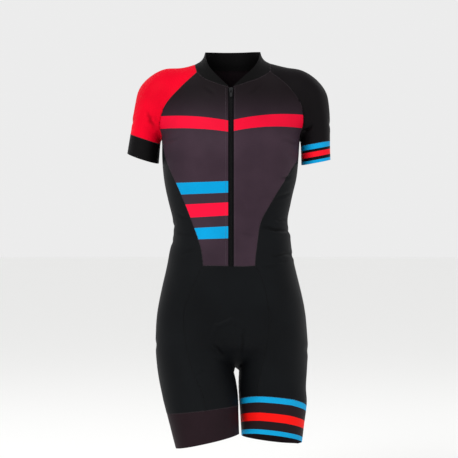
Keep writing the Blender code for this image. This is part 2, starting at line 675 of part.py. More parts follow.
def make_object(name, points, faces, colour, roughness):
    """Make a mesh object from millimetre points."""
    mesh = bpy.data.meshes.new(name)
    mesh.from_pydata([tuple(point * MILLIMETRE) for point in np.asarray(points)], [], faces)
    mesh.validate()
    mesh.update()
    made = bpy.data.objects.new(name, mesh)
    made.data.materials.append(material(colour, roughness))
    collection().objects.link(made)
    return made


def clear_scene():
    """Remove everything that a new file starts with."""
    for item in list(bpy.data.objects):
        bpy.data.objects.remove(item, do_unlink=True)


# ================================================================ the suit's seams
def build_seams():
    """Work out every seam once; a key is (seam, side) or a seam's name."""
    seams = {}
    collar_back_mid = [settle(np.array([point], dtype=float))[0] for point in COLLAR_BACK]
    centre_back_top = settle(np.array([WAIST_BACK_MID], dtype=float))[0]
    crotch = settle(np.array([CROTCH], dtype=float))[0]
    for side in (RIGHT, LEFT):
        seams["collar_front", side] = view_seam("collar_front", side, CELLS["waist_front"])
        collar_front_end = seams["collar_front", side][-1]
        armpit_front = settle(np.array([ARMPIT_FRONT[side]], dtype=float))[0]
        armpit_back = settle(np.array([ARMPIT_BACK[side]], dtype=float))[0]
        raglan = [collar_front_end] + from_view(VIEW_SEAMS["raglan_front", side])[1:] + [armpit_front]
        seams["raglan_front", side] = seam_curve(raglan, CELLS["raglan"])
        body = [armpit_front] + from_view(VIEW_SEAMS["body_side", side])
        seams["body_side", side] = seam_curve(body, CELLS["body_side"])
        waist_corner = seams["body_side", side][-1]
        zip_line = from_view(VIEW_SEAMS["zip_edge", side])
        zip_line[0] = seams["collar_front", side][0]
        seams["zip_edge", side] = seam_curve(zip_line, CELLS["raglan"] + CELLS["body_side"])
        waist = from_view(VIEW_SEAMS["waist_front", side])[1:-1]
        waist = [seams["zip_edge", side][-1], *waist, waist_corner]
        seams["waist_front", side] = seam_curve(waist, CELLS["waist_front"])
        collar_back_end = settle(np.array([COLLAR_BACK_POINT[side]], dtype=float))[0]
        seams["collar_side", side] = seam_curve([collar_front_end, *COLLAR_SIDE[side], collar_back_end],
                                                CELLS["collar_side"])
        seams["raglan_back", side] = seam_curve([collar_back_end, *RAGLAN_BACK[side], armpit_back],
                                                CELLS["raglan"])
        underarm = [armpit_front, ARMPIT_MID[side], armpit_back]
        seams["underarm", side] = seam_curve(underarm, CELLS["underarm"])
        back = [armpit_back] + [back_edge_point(row, side) for row in BODY_SIDE_BACK]
        back.append(back_edge_point(WAIST_BACK_CORNER, side))
        seams["body_side_back", side] = seam_curve(back, CELLS["body_side"])
        waist_back_corner = seams["body_side_back", side][-1]
        seams["waist_back", side] = seam_curve([waist_back_corner, centre_back_top], CELLS["waist_back"])
        band = leg_ring(side, BAND_SEAM[side], np.linspace(0, 2 * math.pi, 361))
        hip = [waist_corner] + from_view(VIEW_SEAMS["hip_side", side])[1:]
        hip.append(nearest_on_ring(band, hip[-1]))
        seams["hip_side", side] = seam_curve(hip, CELLS["hip_side"], other_leg(side))
        hip_back = [waist_back_corner] + [back_edge_point(row, side) for row in HIP_SIDE_BACK]
        hip_back += [leg_edge_point(row, side) for row in LEG_SIDE_BACK]
        band_corner = leg_edge_point((BAND_SEAM[side][0], *LEG_BAND_BACK), side)
        hip_back.append(nearest_on_ring(band, band_corner))
        seams["hip_side_back", side] = seam_curve(hip_back, CELLS["hip_side"], other_leg(side))
        inseam = [crotch, *INSEAM[side]]
        inseam.append(nearest_on_ring(band, inseam[-1]))
        seams["inseam", side] = seam_curve(inseam, CELLS["inseam"], other_leg(side))
        meeting = ("hip_side", "hip_side_back", "inseam")
        front_end, back_end, inner_end = (seams[name, side][-1] for name in meeting)
        seams["band_front", side] = ring_arc(band, front_end, inner_end, CELLS["waist_front"])
        seams["band_back", side] = ring_arc(band, inner_end, back_end, CELLS["waist_back"])
        seams["band_side", side] = ring_arc(band, back_end, front_end, CELLS["underarm"])
    zip_end = (seams["waist_front", RIGHT][0] + seams["waist_front", LEFT][0]) / 2
    seams["centre_front"] = seam_curve([zip_end, *CENTRE_FRONT[1:], crotch], CELLS["centre"])
    seams["centre_back"] = seam_curve([centre_back_top, *CENTRE_BACK[1:], crotch], CELLS["centre"])
    ends = [seams["collar_side", side][-1] for side in (RIGHT, LEFT)]
    seams["collar_back"] = seam_curve([ends[0], *collar_back_mid, ends[1]], 2 * CELLS["waist_back"])
    return seams


def other_leg(side):
    """Name of the thigh that a piece on this side leaves behind."""
    return ("leg", -side)


def leg_ring(side, level, angles):
    """Points of a ring round a thigh at the given angles."""
    ring = limb_ring(lambda p: leg_distance(p, side), leg_middle(side, level[0]), level, angles)
    return settle(ring, other_leg(side))


def arm_ring(side, level, angles):
    """Points of a ring round an upper arm at the given angles."""
    ring = limb_ring(lambda p: arm_distance(p, side), arm_middle(side, level[0]), level, angles)
    return settle(ring, "body")


def nearest_on_ring(ring, point):
    """The ring's point that lies nearest to a point."""
    return ring[np.argmin(np.linalg.norm(ring - np.array(point), axis=1))]


def ring_arc(ring, start, end, cells):
    """The shorter part of a ring between two of its points, divided evenly, ends kept."""
    closed = ring[:-1]
    first = int(np.argmin(np.linalg.norm(closed - start, axis=1)))
    last = int(np.argmin(np.linalg.norm(closed - end, axis=1)))
    count = len(closed)
    forward = [(first + k) % count for k in range((last - first) % count + 1)]
    backward = [(first - k) % count for k in range((first - last) % count + 1)]
    chosen = closed[forward if len(forward) <= len(backward) else backward]
    chosen = np.vstack([start, chosen[1:-1], end])
    return divide(chosen, cells)


# ================================================================ the suit's panels
def front_grid(seams, side):
    """A front: from the zip to the raglan seam and the side panel."""
    outer = np.vstack([seams["raglan_front", side], seams["body_side", side][1:]])
    guess = coons(seams["collar_front", side], seams["waist_front", side], seams["zip_edge", side], outer)
    guess[1:-1, 1] = beside_zip(seams["zip_edge", side], side)[1:-1]
    return relax(guess, "arms", keep_columns=(1,))


def beside_zip(edge, side):
    """The line under which the zip tape ends, beside a front's edge."""
    beside = edge.copy()
    beside[:, 0] += side * (TAPE_REACH + 1.0 - COIL_WIDTH / 2)
    return settle(beside, "arms")


def back_grid(seams):
    """The back: between the raglan seams, the side panels and the waist."""
    edges = [np.vstack([seams["raglan_back", side], seams["body_side_back", side][1:]])
             for side in (RIGHT, LEFT)]
    waist = np.vstack([seams["waist_back", RIGHT], seams["waist_back", LEFT][::-1][1:]])
    return relax(coons(seams["collar_back"], waist, *edges), "arms")


def side_grid(seams, side):
    """A side panel: from the armpit to the leg band."""
    front = np.vstack([seams["body_side", side], seams["hip_side", side][1:]])
    back = np.vstack([seams["body_side_back", side], seams["hip_side_back", side][1:]])
    return relax(coons(seams["underarm", side], seams["band_side", side][::-1], front, back), "arms")


def shorts_grid(seams, side, front):
    """Half of the shorts' front or of the seat: from the centre line to the side panel."""
    name = "front" if front else "back"
    centre = np.vstack([seams["centre_" + name], seams["inseam", side][1:]])
    if front:
        top = seams["waist_front", side].copy()
        top[0] = seams["centre_front"][0]
        outer, bottom = seams["hip_side", side], seams["band_front", side][::-1]
    else:
        top = seams["waist_back", side][::-1]
        outer, bottom = seams["hip_side_back", side], seams["band_back", side]
    return relax(coons(top, bottom, centre, outer), other_leg(side))


def arm_angles(side):
    """Even angles round an arm, in the order of the sleeve's upper edge, from front to back."""
    before_underarm = CELLS["raglan"] + CELLS["underarm"] / 2
    count = 2 * CELLS["raglan"] + CELLS["underarm"] + CELLS["collar_side"]
    turned = 2 * math.pi * (np.arange(count) - before_underarm) / count
    return turned if side == RIGHT else math.pi - turned


def sleeve_grid(seams, side):
    """A raglan sleeve: from the collar, the raglan seams and the underarm to the cuff."""
    upper = np.vstack([seams["raglan_front", side], seams["underarm", side][1:],
                       seams["raglan_back", side][::-1][1:], seams["collar_side", side][::-1][1:-1]])
    angles = arm_angles(side)
    inward = np.cos(angles) * -side
    half_way = np.empty_like(upper)
    for k, angle in enumerate(angles):
        z = SLEEVE_HALF_WAY[0] - SLEEVE_HALF_WAY[1] * inward[k]
        half_way[k] = limb_ring(lambda p: arm_distance(p, side), arm_middle(side, z), (z, 0.0, 0.0),
                                np.array([angle]))[0]
    half_way = settle(half_way, "body")
    lower = arm_ring(side, CUFF_SEAM[side], angles)
    rows = []
    for t in np.linspace(0.0, 1.0, CELLS["sleeve"] + 1):
        if t < 0.5:
            rows.append(upper + (half_way - upper) * 2 * t)
        else:
            rows.append(half_way + (lower - half_way) * (2 * t - 1))
    return relax(np.stack(rows), "body", wrap=True, share_across=0.12)


def cuff_grid(side):
    """An elastic cuff, from the sleeve to its hem."""
    angles = arm_angles(side)
    upper = arm_ring(side, CUFF_SEAM[side], angles)
    lower = arm_ring(side, CUFF_HEM[side], angles)
    share = np.linspace(0.0, 1.0, CELLS["cuff"] + 1)[:, None, None]
    grid = upper + (lower - upper) * share
    grid[1:-1] = settle(grid[1:-1].reshape(-1, 3), "body").reshape(grid[1:-1].shape)
    return grid


def leg_band_grid(seams, side):
    """An elastic leg band, from the shorts to its hem."""
    upper = np.vstack([seams["band_front", side], seams["band_back", side][1:],
                       seams["band_side", side][1:-1]])
    middle = np.array(leg_middle(side, BAND_SEAM[side][0]))
    angles = np.arctan2(upper[:, 1] - middle[1], upper[:, 0] - middle[0])
    lower = leg_ring(side, BAND_HEM[side], angles)
    share = np.linspace(0.0, 1.0, CELLS["leg_band"] + 1)[:, None, None]
    grid = upper + (lower - upper) * share
    grid[1:-1] = settle(grid[1:-1].reshape(-1, 3), other_leg(side)).reshape(grid[1:-1].shape)
    return grid


def collar_grid(seams):
    """The standing collar, open at the zip."""
    lower = np.vstack([seams["collar_front", RIGHT], seams["collar_side", RIGHT][1:],
                       seams["collar_back"][1:],
                       seams["collar_side", LEFT][::-1][1:], seams["collar_front", LEFT][::-1][1:]])
    top = {}
    for side in (RIGHT, LEFT):
        front = from_view(VIEW_SEAMS["collar_top", side])
        front.append(COLLAR_TOP_SIDE[side][0])
        top["front", side] = seam_curve(front, CELLS["waist_front"])
        top["side", side] = seam_curve([front[-1], COLLAR_TOP_SIDE[side][1]], CELLS["collar_side"])
    ends = [top["side", side][-1] for side in (RIGHT, LEFT)]
    back = seam_curve([ends[0], COLLAR_TOP_BACK, ends[1]], 2 * CELLS["waist_back"])
    upper = np.vstack([top["front", RIGHT], top["side", RIGHT][1:], back[1:],
                       top["side", LEFT][::-1][1:], top["front", LEFT][::-1][1:]])
    share = np.linspace(0.0, 1.0, CELLS["collar"] + 1)[:, None, None]
    grid = upper + (lower - upper) * share
    grid[1:-1] = settle(grid[1:-1].reshape(-1, 3)).reshape(grid[1:-1].shape)
    return grid


def zip_lines(seams):
    """The zip's two edges and its middle, with the same number of points each."""
    right, left = seams["zip_edge", RIGHT], seams["zip_edge", LEFT]
    return right, (right + left) / 2, left


def build_zip_tape(seams):
    """The woven tape that lies under both front edges."""
    right, _, left = zip_lines(seams)
    grid = np.stack([beside_zip(right, RIGHT), right, left, beside_zip(left, LEFT)], axis=1)
    wall = Wall("arms")
    wall.add_grid(grid)
    wall.build("zip_tape", TAPE_THICKNESS, "zip_black", depth=CLOTH_THICKNESS + CLEARANCE, gap=0.4)


def build_zip_coil(seams):
    """The closed coil as a plain bar, from the slider down to the waist."""
    middle = zip_lines(seams)[1]
    lengths = np.concatenate([[0.0], np.cumsum(np.linalg.norm(np.diff(middle, axis=0), axis=1))])
    start = SLIDER_BELOW_TOP + SLIDER_LENGTH / 2 + CLEARANCE
    at = np.concatenate([[start], lengths[(lengths > start + 1.0)][:-1], [lengths[-1] - 1.0]])
    middle = np.stack([np.interp(at, lengths, middle[:, axis]) for axis in range(3)], axis=1)
    across = np.array([COIL_WIDTH / 2, 0.0, 0.0])
    wall = Wall("arms")
    wall.add_grid(np.stack([middle - across, middle + across], axis=1))
    height = COIL_ABOVE_CLOTH + CLOTH_THICKNESS
    wall.build("zip_coil", height, "zip_black", depth=-COIL_ABOVE_CLOTH, gap=0.0, roughness=0.4)


def zip_frame(seams):
    """Matrix of the slider: X across, Y along the zip upward, Z outward from the tape."""
    middle = zip_lines(seams)[1]
    lengths = np.concatenate([[0.0], np.cumsum(np.linalg.norm(np.diff(middle, axis=0), axis=1))])
    low, place, high = (np.array([np.interp(at, lengths, middle[:, axis]) for axis in range(3)])
                        for at in (SLIDER_BELOW_TOP + 6, SLIDER_BELOW_TOP, SLIDER_BELOW_TOP - 6))
    along = Vector(high - low).normalized()
    out = Vector((1, 0, 0)).cross(along).normalized()
    across = along.cross(out)
    origin = Vector(place) - out * (CLOTH_THICKNESS + CLEARANCE)
    rotation = Matrix((across, along, out)).transposed().to_4x4()
    return Matrix.Translation(origin * MILLIMETRE) @ rotation


def flat_outline(name, loops, thickness):
    """A flat piece from closed outlines in its own XY plane, holes included, as a mesh object."""
    curve = bpy.data.curves.new(name, "CURVE")
    curve.dimensions = "2D"
    curve.fill_mode = "BOTH"
    curve.extrude = thickness / 2 * MILLIMETRE
    for loop in loops:
        spline = curve.splines.new("POLY")
        spline.points.add(len(loop) - 1)
        for point, (x, y) in zip(spline.points, loop):
            point.co = (x * MILLIMETRE, y * MILLIMETRE, 0.0, 1.0)
        spline.use_cyclic_u = True
    drawn = bpy.data.objects.new(name + "_outline", curve)
    collection().objects.link(drawn)
    mesh = bpy.data.meshes.new_from_object(drawn.evaluated_get(bpy.context.evaluated_depsgraph_get()))
    bpy.data.objects.remove(drawn, do_unlink=True)
    welded = bmesh.new()
    welded.from_mesh(mesh)
    bmesh.ops.remove_doubles(welded, verts=welded.verts, dist=1e-6)
    welded.to_mesh(mesh)
    welded.free()
    made = bpy.data.objects.new(name, mesh)
    collection().objects.link(made)
    return made


def rounded(loop, radius, steps=3):
    """Round the corners of a convex outline."""
    corners = [np.array(point, dtype=float) for point in loop]
    points = []
    for k, corner in enumerate(corners):
        before = corners[k - 1] - corner
        after = corners[(k + 1) % len(corners)] - corner
        start = corner + before / np.linalg.norm(before) * radius
        end = corner + after / np.linalg.norm(after) * radius
        for t in np.linspace(0.0, 1.0, steps + 1):
            points.append(tuple((1 - t) ** 2 * start + 2 * t * (1 - t) * corner + t * t * end))
    return points


def rectangle(x1, y1, x2, y2):
    """Corners of a rectangle, anticlockwise."""
    return ((x1, y1), (x2, y1), (x2, y2), (x1, y2))


def build_slider(frame):
    """The slider: a block with rounded corners and the bridge that holds the pull."""
    half = SLIDER_LENGTH / 2
    outline = ((-SLIDER_WIDTH / 2 + 0.8, -half), (SLIDER_WIDTH / 2 - 0.8, -half),
               (SLIDER_WIDTH / 2, half), (-SLIDER_WIDTH / 2, half))
    slider = flat_outline("zip_slider", [rounded(outline, 1.6)], SLIDER_TOP - SLIDER_FLOOR)
    slider.matrix_world = frame @ Matrix.Translation((0, 0, (SLIDER_TOP + SLIDER_FLOOR) / 2 * MILLIMETRE))
    bridge = flat_outline("zip_bridge", [rounded(BRIDGE_OUTLINE, 0.9), BRIDGE_SLOT], BRIDGE_WIDTH)
    upright = Matrix(((0, 0, 1, 0), (1, 0, 0, 0), (0, 1, 0, 0), (0, 0, 0, 1)))
    bridge.matrix_world = frame @ upright
    bpy.context.view_layer.update()
    union = slider.modifiers.new("bridge", "BOOLEAN")
    union.operation = "UNION"
    union.object = bridge
    bpy.context.view_layer.update()
    joined = bpy.data.meshes.new_from_object(slider.evaluated_get(bpy.context.evaluated_depsgraph_get()))
    slider.modifiers.remove(union)
    slider.data = joined
    bpy.data.objects.remove(bridge, do_unlink=True)
    slider.data.materials.clear()
    slider.data.materials.append(material("metal", 0.35))


def build_pull(frame):
    """The pull tab, hanging from the bridge; its origin lies on its hinge axis."""
    half = PULL_WIDTH / 2
    outline = ((-half + PULL_TAPER, -PULL_LENGTH), (half - PULL_TAPER, -PULL_LENGTH),
               (half, PULL_HEAD), (-half, PULL_HEAD))
    eye = rectangle(-PULL_EYE_WIDTH / 2, PULL_EYE[0], PULL_EYE_WIDTH / 2, PULL_EYE[1])
    pull = flat_outline("zip_pull", [rounded(outline, 0.9), eye], PULL_THICKNESS)
    hinge = Matrix.Translation((0, HINGE_ALONG * MILLIMETRE, HINGE_OVER * MILLIMETRE))
    pull.matrix_world = frame @ hinge
    pull.data.materials.append(material("metal", 0.35))


def build_seat_pad(seams):
    """The seat pad inside the crotch, made from the shorts' own points and thin at its edge."""
    wall = Wall()
    for side in (RIGHT, LEFT):
        for front, top_z in ((True, PAD[2]), (False, PAD[3])):
            grid = shorts_grid(seams, side, front)
            first = int(np.argmax(grid[:, 0, 2] < top_z))
            wall.add_grid(grid[first:CELLS["centre"] + PAD_ROWS_ON_INSEAM + 1, :PAD_COLUMNS_EACH_SIDE + 1])
    thickness = np.full(len(wall.points), PAD_THICKNESS)
    thickness[wall.edge_points()] = PAD_EDGE
    wall.build("seat_pad", thickness, "pad", depth=CLOTH_THICKNESS + 2 * CLEARANCE, gap=0.0, roughness=0.9)


def build_wall(name, grids, colour, without=None, thickness=CLOTH_THICKNESS, wrap=False):
    """Build one cloth panel from its grids of surface points."""
    wall = Wall(without)
    for grid in grids:
        wall.add_grid(grid, wrap=wrap)
    wall.build(name, thickness, colour)


def main():
    """Build the suit."""
    clear_scene()
    seams = build_seams()
    sleeve_colour = {RIGHT: "red", LEFT: "near_black"}
    for side, name in ((RIGHT, "right"), (LEFT, "left")):
        build_wall(f"front_{name}", [front_grid(seams, side)], "aubergine", "arms")
        build_wall(f"side_{name}", [side_grid(seams, side)], "black", "arms")
        build_wall(f"sleeve_{name}", [sleeve_grid(seams, side)], sleeve_colour[side], "body", wrap=True)
        build_wall(f"cuff_{name}", [cuff_grid(side)], "black", "body", BAND_THICKNESS, wrap=True)
        build_wall(f"leg_band_{name}", [leg_band_grid(seams, side)], "plum", other_leg(side), BAND_THICKNESS,
                   wrap=True)
    build_wall("back", [back_grid(seams)], "aubergine", "arms")
    build_wall("shorts_front", [shorts_grid(seams, side, True) for side in (RIGHT, LEFT)], "black")
    build_wall("seat", [shorts_grid(seams, side, False) for side in (RIGHT, LEFT)], "black")
    build_wall("collar", [collar_grid(seams)], "near_black", None, COLLAR_THICKNESS)
    build_zip_tape(seams)
    build_zip_coil(seams)
    frame = zip_frame(seams)
    build_slider(frame)
    build_pull(frame)
    build_seat_pad(seams)


main()
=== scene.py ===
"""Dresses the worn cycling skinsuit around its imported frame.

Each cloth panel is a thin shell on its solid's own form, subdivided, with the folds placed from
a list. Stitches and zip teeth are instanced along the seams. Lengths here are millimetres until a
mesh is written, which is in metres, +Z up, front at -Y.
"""

from __future__ import annotations

import logging
import math
import sys
from dataclasses import dataclass, field
from enum import Enum

import bmesh
import bpy
import numpy as np
from mathutils import Matrix, Vector
from mathutils.kdtree import KDTree


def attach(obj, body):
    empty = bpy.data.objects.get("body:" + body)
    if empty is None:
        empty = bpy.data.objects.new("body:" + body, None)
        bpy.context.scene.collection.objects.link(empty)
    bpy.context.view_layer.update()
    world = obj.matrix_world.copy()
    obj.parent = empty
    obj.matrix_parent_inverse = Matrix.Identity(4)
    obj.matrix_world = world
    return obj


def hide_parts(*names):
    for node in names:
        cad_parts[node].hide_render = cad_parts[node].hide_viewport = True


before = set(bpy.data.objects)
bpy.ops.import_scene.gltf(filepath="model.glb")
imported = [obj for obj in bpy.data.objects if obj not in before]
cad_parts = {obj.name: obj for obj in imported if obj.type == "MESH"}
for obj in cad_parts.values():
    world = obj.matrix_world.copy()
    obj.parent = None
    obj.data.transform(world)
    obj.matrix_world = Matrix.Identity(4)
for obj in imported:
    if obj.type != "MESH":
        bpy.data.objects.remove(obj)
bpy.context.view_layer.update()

LOG = logging.getLogger("skinsuit")
MM = 0.001                  # metres
SUIT = "suit"
# the second attribute holds how much shade is painted into fold troughs and seam grooves, 0 to 1
STRIPE, PAINTED_SHADE, OUT = "stripe", "painted_shade", "out"     # names of attributes
KNIT_UV = "knit"            # name of the UV map
WAVE = 0.314                # a wave texture's period at scale 1, in the units of its coordinates
MERGE = 0.02 * MM           # the solids' points closer than this are one
QUAD_ANGLES = (50, 70)      # two triangles within these angles, face and shape, are one quad, degrees
BLACK, CLEAR = (0.0, 0.0, 0.0, 1.0), (0.0, 0.0, 0.0, 0.0)
COURSE_SHARE = 0.8          # a knit's courses lie closer than its wales by this share
FAR, TINY = 1e9, 1e-6


class Facing(Enum):
    """From where a fold's path is read: two axes of the view, and the outward direction."""

    FRONT = (0, 2, (0.0, -1.0, 0.0))
    BACK = (0, 2, (0.0, 1.0, 0.0))
    RIGHT = (1, 2, (-1.0, 0.0, 0.0))
    LEFT = (1, 2, (1.0, 0.0, 0.0))


class Knit(Enum):
    """Kinds of cloth surface: wale pitch as drawn, mm, and how deep the knit looks."""

    JERSEY = (1.9, 0.16)
    ELASTIC = (2.6, 0.30)
    DOUBLE = (2.2, 0.22)


# ================================================================ small helpers
def linear(colour: str) -> tuple[float, float, float, float]:
    """Turn an sRGB hex colour into linear values.

    Args:
        colour: six hex digits after a hash.

    Returns:
        Red, green, blue and 1.
    """
    parts = [int(colour[k:k + 2], 16) / 255 for k in (1, 3, 5)]
    return (*[v / 12.92 if v <= 0.04045 else ((v + 0.055) / 1.055) ** 2.4 for v in parts], 1.0)


def ramp(value: np.ndarray, low: float, high: float) -> np.ndarray:
    """Soft step from 0 at low to 1 at high."""
    t = np.clip((value - low) / (high - low), 0.0, 1.0)
    return t * t * (3.0 - 2.0 * t)


def add(tree: bpy.types.NodeTree, kind: str, settings: dict | None = None,
        **links: object) -> bpy.types.Node:
    """Add a node with its settings and links.

    Args:
        tree: the node tree.
        kind: the node's type name.
        settings: properties of the node.
        **links: an input's name, with _ for a space, or in_N for input N; each is given a
            constant or the socket that feeds it.

    Returns:
        The new node.
    """
    node = tree.nodes.new(kind)
    for name, value in (settings or {}).items():
        setattr(node, name, value)
    feed(node, **links)
    return node


def feed(node: bpy.types.Node, **links: object) -> None:
    """Give a node's inputs their constants and links, named as for `add`."""
    for name, value in links.items():
        key = int(name[3:]) if name.startswith("in_") else name.replace("_", " ")
        socket = node.inputs[key]
        if isinstance(value, bpy.types.NodeSocket):
            node.id_data.links.new(value, socket)
        else:
            socket.default_value = value


def times(tree: bpy.types.NodeTree, one: object, other: object,
          plus: object = None) -> bpy.types.NodeSocket:
    """One value times another, plus a third where it is given."""
    if plus is None:
        return add(tree, "ShaderNodeMath", {"operation": "MULTIPLY"}, in_0=one, in_1=other).outputs[0]
    return add(tree, "ShaderNodeMath", {"operation": "MULTIPLY_ADD"}, in_0=one, in_1=other,
               in_2=plus).outputs[0]


def mix(tree: bpy.types.NodeTree, share: object, one: object, other: object,
        **settings: object) -> bpy.types.NodeSocket:
    """A colour between two: `one` where the share is 0, `other` where it is 1."""
    return add(tree, "ShaderNodeMix", {"data_type": "RGBA", **settings}, in_0=share, in_6=one,
               in_7=other).outputs[2]


def wave(tree: bpy.types.NodeTree, where: bpy.types.NodeSocket, period: float, direction: str,
         profile: str = "SIN", **more: object) -> bpy.types.NodeSocket:
    """A wave texture whose period is in the units of its coordinates."""
    settings = {"bands_direction": direction, "wave_profile": profile}
    return add(tree, "ShaderNodeTexWave", settings, Vector=where, Scale=WAVE / period,
               **more).outputs["Fac"]


def spread(tree: bpy.types.NodeTree, value: bpy.types.NodeSocket, around: float,
           uneven: tuple[float, float], **span: float) -> bpy.types.NodeSocket:
    """A value turned into a roughness that lies unevenly around another."""
    low, high = uneven
    return add(tree, "ShaderNodeMapRange", Value=value, To_Min=around + low, To_Max=around + high,
               **span).outputs[0]


def mesh_arrays(mesh: bpy.types.Mesh) -> tuple[np.ndarray, np.ndarray]:
    """Points and vertex normals of a mesh.

    Args:
        mesh: the mesh, in metres.

    Returns:
        Points in mm and unit normals, one row for each vertex.
    """
    points = np.empty(len(mesh.vertices) * 3, dtype=np.float32)
    mesh.vertices.foreach_get("co", points)
    normals = np.empty(len(mesh.vertices) * 3, dtype=np.float32)
    mesh.vertex_normals.foreach_get("vector", normals)
    return points.reshape(-1, 3).astype(float) / MM, normals.reshape(-1, 3).astype(float)


def new_object(name: str, data: bpy.types.ID) -> bpy.types.Object:
    """Link a mesh, light or camera to the scene as an object at the origin."""
    made = bpy.data.objects.new(name, data)
    bpy.context.scene.collection.objects.link(made)
    return made


def subdivided(name: str, mesh: bpy.types.Mesh, levels: int) -> bpy.types.Mesh:
    """A smooth, finer copy of a coarse mesh that keeps its corners.

    Args:
        name: name of the object that holds the mesh meanwhile.
        mesh: the coarse mesh.
        levels: how often it is divided.

    Returns:
        The fine mesh.
    """
    holder = new_object(name, mesh)
    finer = holder.modifiers.new("finer", "SUBSURF")
    finer.levels = finer.render_levels = levels
    finer.boundary_smooth = "PRESERVE_CORNERS"
    return applied(holder)


def merge_triangles(shell: bmesh.types.BMesh) -> None:
    """Join the triangles of a solid's faces back into quads."""
    face, shape = (math.radians(angle) for angle in QUAD_ANGLES)
    bmesh.ops.join_triangles(shell, faces=shell.faces, angle_face_threshold=face,
                             angle_shape_threshold=shape)


def solid_shell(node: str) -> bmesh.types.BMesh:
    """A node's solid with its points merged."""
    shell = bmesh.new()
    shell.from_mesh(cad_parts[node].data)
    bmesh.ops.remove_doubles(shell, verts=shell.verts, dist=MERGE)
    return shell


def search_tree(points: list | np.ndarray, numbers: list[int] | None = None) -> KDTree:
    """Search tree over points.

    Args:
        points: the points.
        numbers: by which number each is found; its row if left out.

    Returns:
        The tree.
    """
    tree = KDTree(max(len(points), 1))
    for row, point in enumerate(points):
        tree.insert(point, row if numbers is None else numbers[row])
    tree.balance()
    return tree


def applied(holder: bpy.types.Object) -> bpy.types.Mesh:
    """Mesh of an object with its modifiers applied; the object is removed.

    Args:
        holder: an object with modifiers.

    Returns:
        The finished mesh.
    """
    bpy.context.view_layer.update()
    done = holder.evaluated_get(bpy.context.evaluated_depsgraph_get())
    mesh = bpy.data.meshes.new_from_object(done)
    bpy.data.objects.remove(holder, do_unlink=True)
    return mesh


# ================================================================ camera and stage
@dataclass(frozen=True)
class PhotoView:
    """The photograph's view of the object, as a pinhole in front of it."""

    eye: tuple[float, float, float] = (-4.3, -3000.0, -355.0)
    mm_per_px: float = 2.15
    pixels: float = 458.0
    sensor: float = 36.0
    clip: tuple[float, float] = (0.05, 50.0)

    def project(self, points: np.ndarray) -> np.ndarray:
        """Places in the photograph, pixels across and down, of points in mm."""
        away = (points[:, 1] - self.eye[1]) / -self.eye[1] * self.mm_per_px
        middle = self.pixels / 2
        return np.stack([middle + (points[:, 0] - self.eye[0]) / away,
                         middle - (points[:, 2] - self.eye[2]) / away], axis=1)

    def make_camera(self) -> bpy.types.Object:
        """Make the scene's camera."""
        data = bpy.data.cameras.new("camera")
        data.sensor_width = self.sensor
        data.lens = self.sensor * -self.eye[1] / (self.pixels * self.mm_per_px)
        data.clip_start, data.clip_end = self.clip
        made = new_object("camera", data)
        made.location = Vector(self.eye) * MM
        made.rotation_euler = (math.pi / 2, 0.0, 0.0)
        bpy.context.scene.camera = made
        return made


@dataclass(frozen=True)
class SoftLight:
    """A square soft light that faces the suit: its middle and size in metres, its power in watts."""

    name: str
    place: tuple[float, float, float]
    size: float
    power: float
    aim: tuple[float, float, float] = (0.0, 0.0, -0.35)

    def build(self) -> None:
        """Make the light."""
        data = bpy.data.lights.new(self.name, "AREA")
        data.energy, data.size = self.power, self.size
        made = new_object(self.name, data)
        made.location = self.place
        away = Vector(self.aim) - Vector(self.place)
        made.rotation_euler = away.to_track_quat("-Z", "Y").to_euler()


@dataclass(frozen=True)
class Studio:
    """Pale floor all round, pale surroundings and soft lights."""

    floor_level: float = -1.02
    floor_radius: float = 30.0
    floor_sides: int = 96
    floor_roughness: float = 0.9
    floor_gloss: float = 0.1
    pale: str = "#FBFBFA"
    world: str = "#FFFFFF"
    world_strength: float = 0.84
    lights: tuple[SoftLight, ...] = (
        SoftLight("key", (-1.5, -2.4, 1.5), 1.5, 52.0),
        SoftLight("fill", (1.9, -2.2, 0.3), 1.8, 14.0),
        SoftLight("rim_left", (2.0, 1.6, 1.2), 1.0, 5.0),
        SoftLight("rim_right", (-2.0, 1.6, 1.2), 1.0, 5.0),
    )

    def build(self) -> None:
        """Make the floor, the lights and the world."""
        disc = bmesh.new()
        bmesh.ops.create_circle(disc, cap_ends=True, segments=self.floor_sides, radius=self.floor_radius,
                                matrix=Matrix.Translation((0.0, 0.0, self.floor_level)))
        mesh = bpy.data.meshes.new("floor")
        disc.to_mesh(mesh)
        disc.free()
        paint = bpy.data.materials.new("matt_paper_floor")
        paint.use_nodes = True
        feed(paint.node_tree.nodes["Principled BSDF"], Base_Color=linear(self.pale),
             Roughness=self.floor_roughness, Specular_IOR_Level=self.floor_gloss)
        mesh.materials.append(paint)
        new_object("floor", mesh)
        for light in self.lights:
            light.build()
        world = bpy.data.worlds.new("studio")
        world.use_nodes = True
        feed(world.node_tree.nodes["Background"], Color=linear(self.world), Strength=self.world_strength)
        bpy.context.scene.world = world
        bpy.context.scene.view_settings.view_transform = "Standard"


# ================================================================ finishes
@dataclass(frozen=True)
class Finish:
    """A surface finish; its material is made once, however many pieces wear it."""

    name: str

    def material(self) -> bpy.types.Material:
        """The finish's material."""
        return bpy.data.materials.get(self.name) or self.build()

    def start(self) -> tuple[bpy.types.Material, bpy.types.NodeTree, bpy.types.Node]:
        """Start a material.

        Returns:
            The material, its node tree and its surface shader.
        """
        made = bpy.data.materials.new(self.name)
        made.use_nodes = True
        return made, made.node_tree, made.node_tree.nodes["Principled BSDF"]


@dataclass(frozen=True)
class Stripe:
    """A printed or knitted bar between two of a piece's edge lines."""

    first: int
    colour: str


